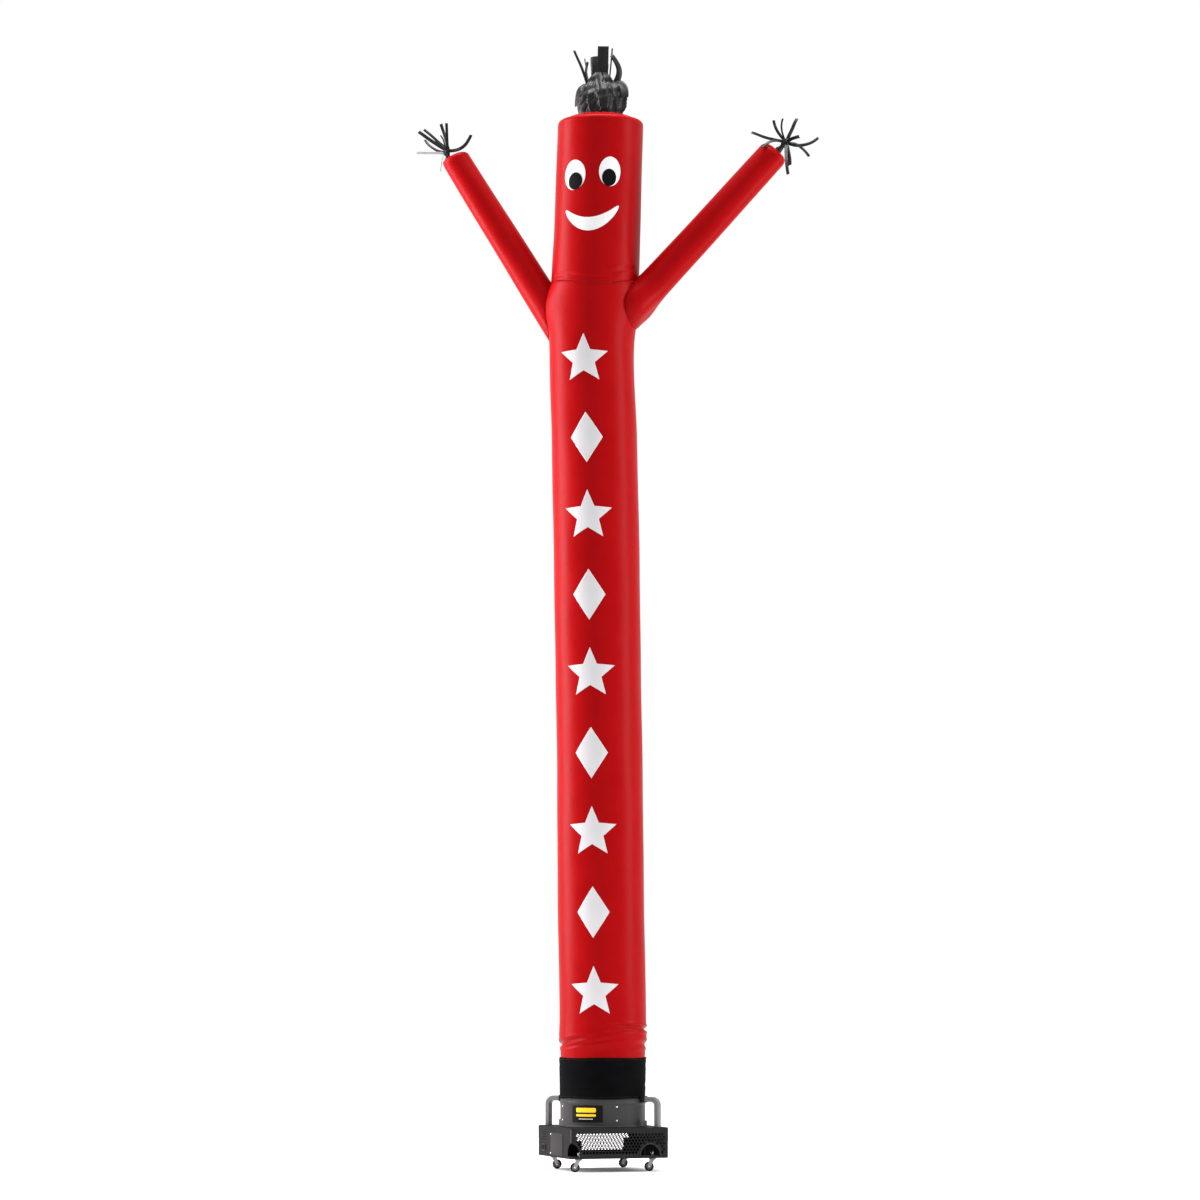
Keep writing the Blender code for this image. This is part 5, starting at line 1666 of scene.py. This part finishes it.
    def build_lips(self) -> bpy.types.Object:
        """The rolled lips of the two straight arches: a round wire bent along a half ellipse, in the ring's
        lighter enamel as a painted highlight on the case's own edge.
        """
        wire = 0.0026
        around = np.radians(np.arange(10) * 36.0)
        bends = np.radians(np.linspace(0.0, 180.0, 41))
        half, height = self.arch
        out = np.stack([np.cos(bends) / half, np.sin(bends) / height], axis=-1)
        out /= np.linalg.norm(out, axis=1, keepdims=True)
        run = np.stack([self.arch_x + half * np.cos(bends), self.sill + height * np.sin(bends)], axis=-1)
        reach = wire * (1.0 + np.cos(around))
        grid = np.empty((len(bends), len(around), 3))
        grid[..., [0, 2]] = run[:, None, :] + out[:, None, :] * reach[None, :, None]
        grid[..., 1] = -self.case / 2 - 0.0002 + wire * np.sin(around)
        lips = [self.set_down(self.spun(grid, turn)) for turn in (0.0, 180.0)]
        cells = grid_faces(len(bends), len(around), True)
        count = len(bends) * len(around)
        ring = np.arange(len(around))
        ends = [ring[::-1], ring + count - len(around)]
        faces = [(cell + lip * count).tolist() for lip in (0, 1) for cell in [*cells.reshape(-1, 4), *ends]]
        mesh = bpy.data.meshes.new("arch_lips")
        mesh.from_pydata(np.concatenate([lip.reshape(-1, 3) for lip in lips]).tolist(), [], faces)
        mesh.polygons.foreach_set("use_smooth", np.ones(len(faces), dtype=bool))
        obj = bpy.data.objects.new(mesh.name, mesh)
        bpy.context.scene.collection.objects.link(obj)
        # Painted highlight: the lips take the ring's lighter enamel, on top of the real light that their
        # round shape catches.
        return self.room.fit(obj, self.room.finishes.ring, Slot.DARK_ENAMEL)

    def build_corner_highlights(self) -> list[bpy.types.Object]:
        """Rolled edges up the case's corners, from over the corner arch to the top, in the lighter hub enamel
        as a painted highlight.
        """
        low, high = self.sill + self.corner_arch[1] + 0.006, self.top - 0.006
        place = self.corner * (1.0 - math.sqrt(0.5)) - self.case / 2
        centre = np.array([place, place, (low + high) / 2])
        pieces = []
        for number in range(4):
            size = np.array([0.0026, 0.0026, high - low])
            edge = self.rounded_box(f"corner_highlight_{number + 1}", size, centre, 90.0 * number, 0.0008)
            # Painted highlight: the lighter hub enamel stands for the light caught along each corner.
            pieces.append(self.room.fit(edge, self.room.finishes.hub, Slot.DARK_ENAMEL))
        return pieces

    def plate(self, name: str, height: float, inner: float, is_round: bool) -> bpy.types.Object:
        """A flat sheet between the case's outline and an inner circle or square.

        Each row of points is a blend of the outer and the inner outline, so the sheet has no pole.

        Args:
            name: the piece's name.
            height: height of its lower face.
            inner: radius of the round opening, or half the side of the square one.
            is_round: whether the opening is round.

        Returns:
            The sheet.
        """
        outer = self.outline(self.case / 2 - self.sheet - 0.0006, self.corner)
        angles = np.arctan2(outer[:, 1], outer[:, 0])
        circle = inner * np.stack([np.cos(angles), np.sin(angles)], axis=-1)
        inside = circle if is_round else self.outline(inner, 0.02)
        share = np.linspace(0.0, 1.0, 9)[:, None, None]
        flat = (1 - share) * inside[None] + share * outer[None]
        grid = np.concatenate([flat, np.full((*flat.shape[:2], 1), height + self.sheet)], axis=-1)
        sheet = add_surface(name, self.set_down(grid[::-1]))
        thicken(sheet, self.sheet)
        sharpen(sheet)
        return self.room.fit(sheet, self.room.finishes.case, Slot.DARK_ENAMEL, ["blower_case"])

    def rounded_box(
        self, name: str, size: Array, centre: Array, turn: float, bevel: float
    ) -> bpy.types.Object:
        """A block with rolled edges, in the blower's frame turned by some degrees."""
        signs = np.array([[x, y, z] for z in (-1, 1) for y in (-1, 1) for x in (-1, 1)]) / 2
        points = self.set_down(self.spun(signs * size + centre, turn))
        faces = np.array([[0, 2, 3, 1], [4, 5, 7, 6], [0, 1, 5, 4], [2, 6, 7, 3], [0, 4, 6, 2], [1, 3, 7, 5]])
        block = add_mesh(name, points, faces)
        add_modifier(block, "BEVEL", width=bevel, segments=3, limit_method="ANGLE", harden_normals=False)
        return bake(block)

    def build_handles(self) -> list[bpy.types.Object]:
        """Two bars bent over from the case to the ring, each with its clamp and lug.

        A bar is a rounded rectangle carried along a leg, a quarter circle and a level arm.
        """
        pieces = []
        half_bar, half_depth = self.handle_bar / 2, self.handle_depth / 2
        bend = self.handle_bend - half_bar
        centre_x, centre_z = self.handle_reach - self.handle_bend, self.handle_top - self.handle_bend
        inner_x = self.ring_outer + 0.002 + 0.0006 + 0.026
        quarter = np.radians(np.linspace(0.0, 90.0, 14))
        leg = np.stack(
            [np.full(10, self.handle_reach - half_bar), np.linspace(self.top + 0.0003, centre_z, 10)], axis=-1
        )
        curve = np.stack([centre_x + bend * np.cos(quarter), centre_z + bend * np.sin(quarter)], axis=-1)
        arm = np.stack([np.linspace(centre_x, inner_x, 8), np.full(8, self.handle_top - half_bar)], axis=-1)
        path = np.vstack([leg[:-1], curve, arm[1:]])
        heading = unit(np.gradient(path, axis=0))
        normal = np.stack([heading[:, 1], -heading[:, 0]], axis=-1)
        section = rounded(
            [
                (-half_bar, -half_depth),
                (half_bar, -half_depth),
                (half_bar, half_depth),
                (-half_bar, half_depth),
            ],
            0.005,
            6,
        )
        x = path[:, None, 0] + normal[:, None, 0] * section[None, :, 0]
        z = path[:, None, 1] + normal[:, None, 1] * section[None, :, 0]
        grid = np.stack([x, np.broadcast_to(section[None, :, 1], x.shape), z], axis=-1)
        for number, corner in enumerate((45.0, 225.0), start=1):
            turn = corner - 90.0
            bar = add_surface(f"handle_bar_{number}", self.set_down(self.spun(grid, turn)), capped=True)
            sharpen(bar, 50.0)
            pieces.append(self.room.fit(bar, self.room.finishes.handle, Slot.HANDLE, [f"handle_{number}"]))
            clamp_x = self.ring_outer + 0.0023 + 0.013
            size, centre = np.array([0.0236, 0.046, 0.034]), np.array(
                [clamp_x, 0.0, self.handle_top - half_bar]
            )
            clamp = self.rounded_box(f"clamp_{number}", size, centre, turn, 0.003)
            pieces.append(
                self.room.fit(clamp, self.room.finishes.plastic, Slot.PLASTIC, [f"handle_clamp_{number}"])
            )
            foot = self.top + 0.0003
            lug_path = rounded(
                [(-0.009, foot), (0.009, foot), (0.009, foot + 0.0335), (-0.009, foot + 0.0335)], 0.0085, 8
            )
            layers = [
                np.stack(
                    [0.247 + lug_path[:, 0], np.full(len(lug_path), y), lug_path[:, 1]], axis=-1
                ) for y in (-0.007, 0.007)
            ]
            lug = add_surface(f"lug_{number}", self.set_down(self.spun(np.stack(layers), turn)), capped=True)
            sharpen(lug, 40.0)
            pieces.append(self.room.fit(lug, self.room.finishes.handle, Slot.HANDLE, [f"ring_lug_{number}"]))
        return pieces

    def build_controls(self) -> list[bpy.types.Object]:
        """Cover plate and socket block, with the sockets' dark recesses."""
        wall = -self.case / 2
        finishes = self.room.finishes
        cover = self.rounded_box(
            "side_cover",
            np.array([0.002, 0.200, 0.116]),
            np.array([wall - 0.0013, -0.041, 0.140]),
            0.0,
            0.0007,
        )
        block = self.rounded_box(
            "sockets", np.array([0.002, 0.056, 0.040]), np.array([wall - 0.0013, 0.170, 0.116]), 0.0, 0.0007
        )
        pieces = [
            self.room.fit(cover, finishes.cover, Slot.GREY_ENAMEL, ["cover_plate"]),
            self.room.fit(block, finishes.plastic, Slot.PLASTIC, ["socket_block"]),
        ]
        for number, y in enumerate((0.157, 0.184), start=1):
            rim = rounded([(-0.0105, -0.014), (0.0105, -0.014), (0.0105, 0.014), (-0.0105, 0.014)], 0.004, 6)
            scale = np.array([1.0, 1.0, 0.82, 0.74])[:, None, None]
            depth = np.array([-0.0024, -0.0042, -0.0042, -0.0026])[:, None]
            flat = rim[None] * scale + np.array([y, 0.116])
            grid = np.stack(
                [np.broadcast_to(wall + depth, flat.shape[:2]), flat[..., 0], flat[..., 1]], axis=-1
            )
            collar = add_surface(f"socket_collar_{number}", self.set_down(grid[:, ::-1]), capped=True)
            sharpen(collar, 40.0)
            pieces.append(self.room.fit(collar, finishes.label, Slot.PLASTIC))
        return pieces

    def build_label(self) -> list[bpy.types.Object]:
        """A plain black plate on the ring with bare yellow and pale bars."""
        finishes = self.room.finishes
        radius = self.ring_outer
        rows = (
            ("label_plate_film", finishes.label, 0.0, 0.301, 0.178, 0.088, 0.0007, ["label_plate"]),
            ("label_bar_wide", finishes.yellow, -0.004, 0.320, 0.112, 0.024, 0.0020, []),
            ("label_bar_middle", finishes.yellow, -0.004, 0.293, 0.112, 0.013, 0.0020, []),
            ("label_bar_thin", finishes.pale, -0.004, 0.274, 0.080, 0.004, 0.0020, []),
        )
        pieces = []
        for name, finish, shift, height, width, tall, gap, nodes in rows:
            edge = min(tall, width) / 2 * 0.8
            outline = rounded(
                [
                    (-width / 2, -tall / 2),
                    (width / 2, -tall / 2),
                    (width / 2, tall / 2),
                    (-width / 2, tall / 2),
                ],
                min(edge, 0.006),
                6,
            )
            closed = np.vstack([outline, outline[:1]])
            run = np.concatenate([[0.0], np.cumsum(np.linalg.norm(np.diff(closed, axis=0), axis=1))])
            run /= run[-1]

            def boundary(share: Array, run: Array = run, closed: Array = closed) -> Array:
                at = (share + 0.625) % 1.0
                return np.stack([np.interp(at, run, closed[:, k]) for k in (0, 1)], axis=-1)

            flat = concentric(boundary, 28)
            turns = np.radians(-11.6) + (flat[..., 0] + shift) / radius
            reach = radius + gap
            grid = np.stack([reach * np.sin(turns), -reach * np.cos(turns), height + flat[..., 1]], axis=-1)
            plate = add_surface(name, self.room.axis + grid, round_columns=False)
            thicken(plate, 0.0009 if nodes else 0.0003, 1.0)
            pieces.append(self.room.fit(plate, finish, Slot.PLASTIC, nodes))
        return pieces

    def build(self) -> None:
        """Makes every piece of the blower."""
        self.build_ring()
        self.build_case()
        self.build_handles()
        self.build_controls()
        self.build_label()
        self.build_screws()


@dataclass
class Casters:
    """Four swivelling casters: wheels, bearings, axle caps, brake levers and dome nuts."""

    room: Workroom
    blower: Blower
    inset: float = 0.065
    trail: float = 0.018
    wheel_radius: float = 0.025

    def tread(self) -> Array:
        """The tyre's profile about its own axis."""
        r = self.wheel_radius
        half = [(0.0172, -0.0078), (r - 0.0015, -0.0090), (r, -0.004)]
        return rounded(half + [(radius, -z) for radius, z in half[::-1]], 0.003, 5)

    def core(self) -> Array:
        """The hub's profile about its own axis."""
        half = [(0.0037, -0.0108), (0.0090, -0.0108), (0.0105, -0.0068), (0.0174, -0.0062)]
        return rounded(half + [(radius, -z) for radius, z in half[::-1]], 0.0015, 4)

    def about_axle(self, profile: Array, centre: Array, columns: int, ahead: Array, across: Array) -> Array:
        """A turned profile with its axis laid along the axle."""
        grid = lathe(profile, columns)
        up = np.array([0.0, 0.0, 1.0])
        return centre + grid[..., :1] * ahead + grid[..., 1:2] * up + grid[..., 2:] * -across

    def build(self) -> None:
        """Makes the four casters, each on its own bodies and trailing its own way."""
        finishes = self.room.finishes
        reach = self.blower.case / 2 - self.inset
        corners = (
            ("front_left", -1, -1, 191.0),
            ("front_right", 1, -1, 191.0),
            ("back_right", 1, 1, 191.0),
            ("back_left", -1, 1, 11.0),
        )
        bearing_profile = rounded(
            [(0.006, 0.0585), (0.0165, 0.0600), (0.0185, 0.0640), (0.0185, 0.0672), (0.006, 0.0676)], 0.002, 5
        )
        for place, side, depth, trail_turn in corners:
            a = math.radians(trail_turn)
            ahead = np.array([math.cos(a), math.sin(a), 0.0])
            across = np.array([-math.sin(a), math.cos(a), 0.0])
            pivot = self.blower.set_down(np.array([side * reach, depth * reach, 0.0]))
            axle = pivot + ahead * self.trail + np.array([0.0, 0.0, self.wheel_radius])
            fork, wheel = f"fork_{place}", f"wheel_{place}"
            round_tyre = self.about_axle(self.tread(), axle, 64, ahead, across)
            tyre = add_surface(f"tyre_{place}", round_tyre, round_rows=True)
            self.room.fit(tyre, finishes.rubber, Slot.RUBBER, [f"caster_wheel_{place}"], wheel)
            round_hub = self.about_axle(self.core(), axle, 40, ahead, across)
            hub = add_surface(f"hub_{place}", round_hub, round_rows=True)
            sharpen(hub, 40.0)
            self.room.fit(hub, finishes.hub, Slot.RUBBER, [f"caster_wheel_{place}"], wheel)
            self.room.coat(f"caster_fork_{place}", finishes.steel)
            race = add_surface(f"bearing_{place}", lathe(bearing_profile, 40) + pivot, round_rows=True)
            sharpen(race, 40.0)
            self.room.fit(race, finishes.steel, Slot.ZINC, (), fork)
            cap = lathe(np.array([(0.0046, 0.0), (0.0046, 0.0016), (0.0030, 0.0026), (0.0008, 0.0030)]), 12)
            places = np.stack([axle + across * 0.0146, axle - across * 0.0146])
            normals = np.stack([across, -across])
            ups = np.broadcast_to(np.array([0.0, 0.0, 1.0]), normals.shape)
            caps = add_copies(f"axle_caps_{place}", cap, places, normals, ups)
            self.room.fit(caps, finishes.zinc, Slot.ZINC, (), fork)
            self.lever(place, pivot, ahead, across, fork)
            self.nut(place, pivot)

    def lever(self, place: str, pivot: Array, ahead: Array, across: Array, body: str) -> None:
        """The brake lever: a flat tongue that leaves the fork over the wheel and turns up at its end."""
        t = np.linspace(0.0, 1.0, 18)[:, None]
        s = np.linspace(-1.0, 1.0, 7)[None, :]
        out = -0.012 - 0.020 * t
        rise = 0.0565 - 0.010 * t + 0.012 * np.clip(t - 0.6, 0.0, 1.0) ** 1.5
        width = 0.0075 * (1.0 - 0.25 * t**3)
        zeros = np.zeros_like(s)
        up = np.array([0.0, 0.0, 1.0])
        grid = pivot + (out + zeros)[..., None] * ahead + (width * s)[..., None] * across
        grid = grid + (rise + 0.0006 * s**2)[..., None] * up
        tongue = add_surface(f"brake_lever_{place}", grid, round_columns=False)
        thicken(tongue, 0.0014, 0.0)
        sharpen(tongue, 50.0)
        self.room.fit(tongue, self.room.finishes.steel, Slot.ZINC, (), body)

    def nut(self, place: str, pivot: Array) -> None:
        """The stem, its washer and the dome nut on it, inside the case."""
        base = self.blower.bottom + 0.0028
        profile = [
            (0.0140, 0.0),
            (0.0140, 0.0016),
            (0.0060, 0.0020),
            (0.0060, 0.0168),
            (0.0100, 0.0170),
            (0.0100, 0.0255),
        ]
        bends = np.radians(np.linspace(5.0, 85.0, 8))
        dome = [(0.0092 * math.cos(bend), 0.0255 + 0.0075 * math.sin(bend)) for bend in bends]
        grid = lathe(np.array(profile + dome), 24) + pivot + np.array([0.0, 0.0, base])
        nut = add_surface(f"dome_nut_{place}", grid, capped=True)
        sharpen(nut, 45.0)
        self.room.fit(nut, self.room.finishes.zinc, Slot.ZINC, [f"caster_nut_{place}"])


@dataclass
class Studio:
    """Pale floor, soft lights and the camera at the photograph's angle."""

    room: Workroom
    azimuth: float = 11.0
    distance: float = 22.0
    height: float = 1.1
    aim_height: float = 3.02
    shift_left: float = 0.0149
    pixels_across: float = 1200.0
    pixels_to_distance: float = 4133.0
    sensor: float = 36.0
    floor_reach: float = 90.0

    def heading(self, degrees: float) -> Array:
        """Level direction from the object towards a camera at this azimuth."""
        a = math.radians(degrees)
        return np.array([math.sin(a), -math.cos(a), 0.0])

    def camera(self) -> None:
        """The camera: level with the blower's top, far off, tipped up to the figure's middle."""
        away = self.heading(self.azimuth)
        right = np.array([-away[1], away[0], 0.0])
        place = self.room.axis + away * self.distance - right * self.shift_left
        place[2] = self.height
        data = bpy.data.cameras.new("camera")
        data.sensor_width = self.sensor
        data.lens = self.sensor * self.pixels_to_distance / self.pixels_across
        data.clip_end = 200.0
        camera = bpy.data.objects.new("camera", data)
        camera.location = place
        tip = math.atan2(self.aim_height - self.height, self.distance)
        camera.rotation_euler = (math.pi / 2 + tip, 0.0, math.radians(self.azimuth))
        bpy.context.scene.collection.objects.link(camera)
        bpy.context.scene.camera = camera

    def softbox(
        self,
        name: str,
        place: tuple[float, float, float],
        size: tuple[float, float],
        power: float,
        tip: float = 90.0,
        colour: Colour = (1.0, 1.0, 1.0),
    ) -> None:
        """An area light that faces the figure.

        Args:
            name: the light's name.
            place: degrees from the camera's side of the object (positive to the right), metres from the
                axis, and height of its middle.
            size: width and height.
            power: watts.
            tip: degrees from facing straight down; 90 faces level.
            colour: the light's colour.
        """
        azimuth, distance, height = place
        data = bpy.data.lights.new(name, "AREA")
        data.shape = "RECTANGLE"
        data.size, data.size_y = size
        data.energy = power
        data.color = colour
        light = bpy.data.objects.new(name, data)
        away = self.heading(self.azimuth + azimuth)
        light.location = self.room.axis + away * distance + np.array([0.0, 0.0, height])
        light.rotation_euler = (math.radians(tip), 0.0, math.radians(self.azimuth + azimuth))
        bpy.context.scene.collection.objects.link(light)

    def floor(self) -> None:
        """A wide flat floor, nearly white, that glows as painted light: no glow within 1 m of its middle,
        rising to full strength beyond 4 m, so the floor round the blower stays darker.
        """
        line = np.linspace(-self.floor_reach, self.floor_reach, 3)
        x, y = np.meshgrid(line, line)
        grid = np.stack([x, y, np.zeros_like(x)], axis=-1)
        floor = add_surface("floor", grid, round_columns=False)
        shader = Shader("floor_paint")
        shader.set(Base_Color=(0.94, 0.94, 0.94, 1.0), Roughness=0.8, Specular_IOR_Level=0.0)
        shader.set(Emission_Color=(1.0, 1.0, 1.0, 1.0))
        run = shader.node("ShaderNodeVectorMath", operation="LENGTH")
        shader.link(shader.places(False), run.inputs[0])
        # Painted light: the floor's own glow, nothing within 1 m of the middle and 0.12 beyond 4 m, leaves
        # the ground by the blower darker.
        painted_floor_glow = shader.ramp(run.outputs["Value"], 1.0, 4.0, 0.0, 0.12)
        shader.link(painted_floor_glow, shader.principled.inputs["Emission Strength"])
        floor.data.materials.append(shader.material)

    def world(self) -> None:
        """An even white surround."""
        world = bpy.data.worlds.new("surround")
        world.use_nodes = True
        background = world.node_tree.nodes["Background"]
        background.inputs["Color"].default_value = (1.0, 1.0, 1.0, 1.0)
        background.inputs["Strength"].default_value = 1.0
        bpy.context.scene.world = world
        bpy.context.scene.view_settings.view_transform = "Standard"

    def build(self) -> None:
        """Sets up the studio."""
        self.camera()
        self.world()
        self.floor()
        self.softbox("left_softbox", (-98.0, 4.5, 4.3), (1.9, 7.0), 700.0, colour=(1.0, 0.89, 0.95))
        self.softbox("right_softbox", (80.0, 5.0, 4.3), (1.1, 7.0), 300.0)
        self.softbox("top_softbox", (0.0, 0.0, 9.6), (3.4, 1.6), 400.0, 0.0)


def main() -> None:
    """Builds the studio and every piece in order, and notes the sizes."""
    logging.basicConfig(level=logging.INFO, format="%(message)s")
    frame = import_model()
    room = Workroom(frame)
    black, pale = room.finishes.black, room.finishes.pale_streamer
    Studio(room).build()
    torso = Torso(room)
    torso.build()
    left = ArmSleeve(room, "arm_left", (-0.050, 4.207), (-0.826, 5.455), 0.0960, 0.0745, -0.036)
    right = ArmSleeve(room, "arm_right", (-0.050, 4.370), (0.948, 5.421), 0.0930, 0.0790, 0.008, flare=0.055)
    arms = {sleeve.node: sleeve.build() for sleeve in (left, right)}
    seams = {sleeve.node: sleeve.stitches() for sleeve in (left, right)}
    hands = {
        "arm_left": [
            HandStem(room, left, LEFT_KNOT, "left_stem", "hand_left").build(),
            Streamers(room, "left_streamers", "hand_left", LEFT_KNOT, LEFT_STRIPS, black).build(),
            Streamers(room, "pale_streamer", "hand_left", LEFT_KNOT, LEFT_PALE_STRIP, pale).build(),
        ],
        "arm_right": [
            HandStem(room, right, RIGHT_KNOT, "right_stem", "hand_right").build(),
            Streamers(room, "right_streamers", "hand_right", RIGHT_KNOT, RIGHT_STRIPS, black).build(),
        ],
    }
    hair = [
        HairNeck(room).build(),
        Streamers(room, "hair_streamers", "hair", HAIR_TOP, HAIR_STRIPS, black).build(),
    ]
    trim = Trim(room)
    trim.build_face()
    trim.build_motifs()
    cuff = Cuff(room)
    band = cuff.build()
    blower = Blower(room)
    blower.build()
    Casters(room, blower).build()


if __name__ == "__main__":
    main()
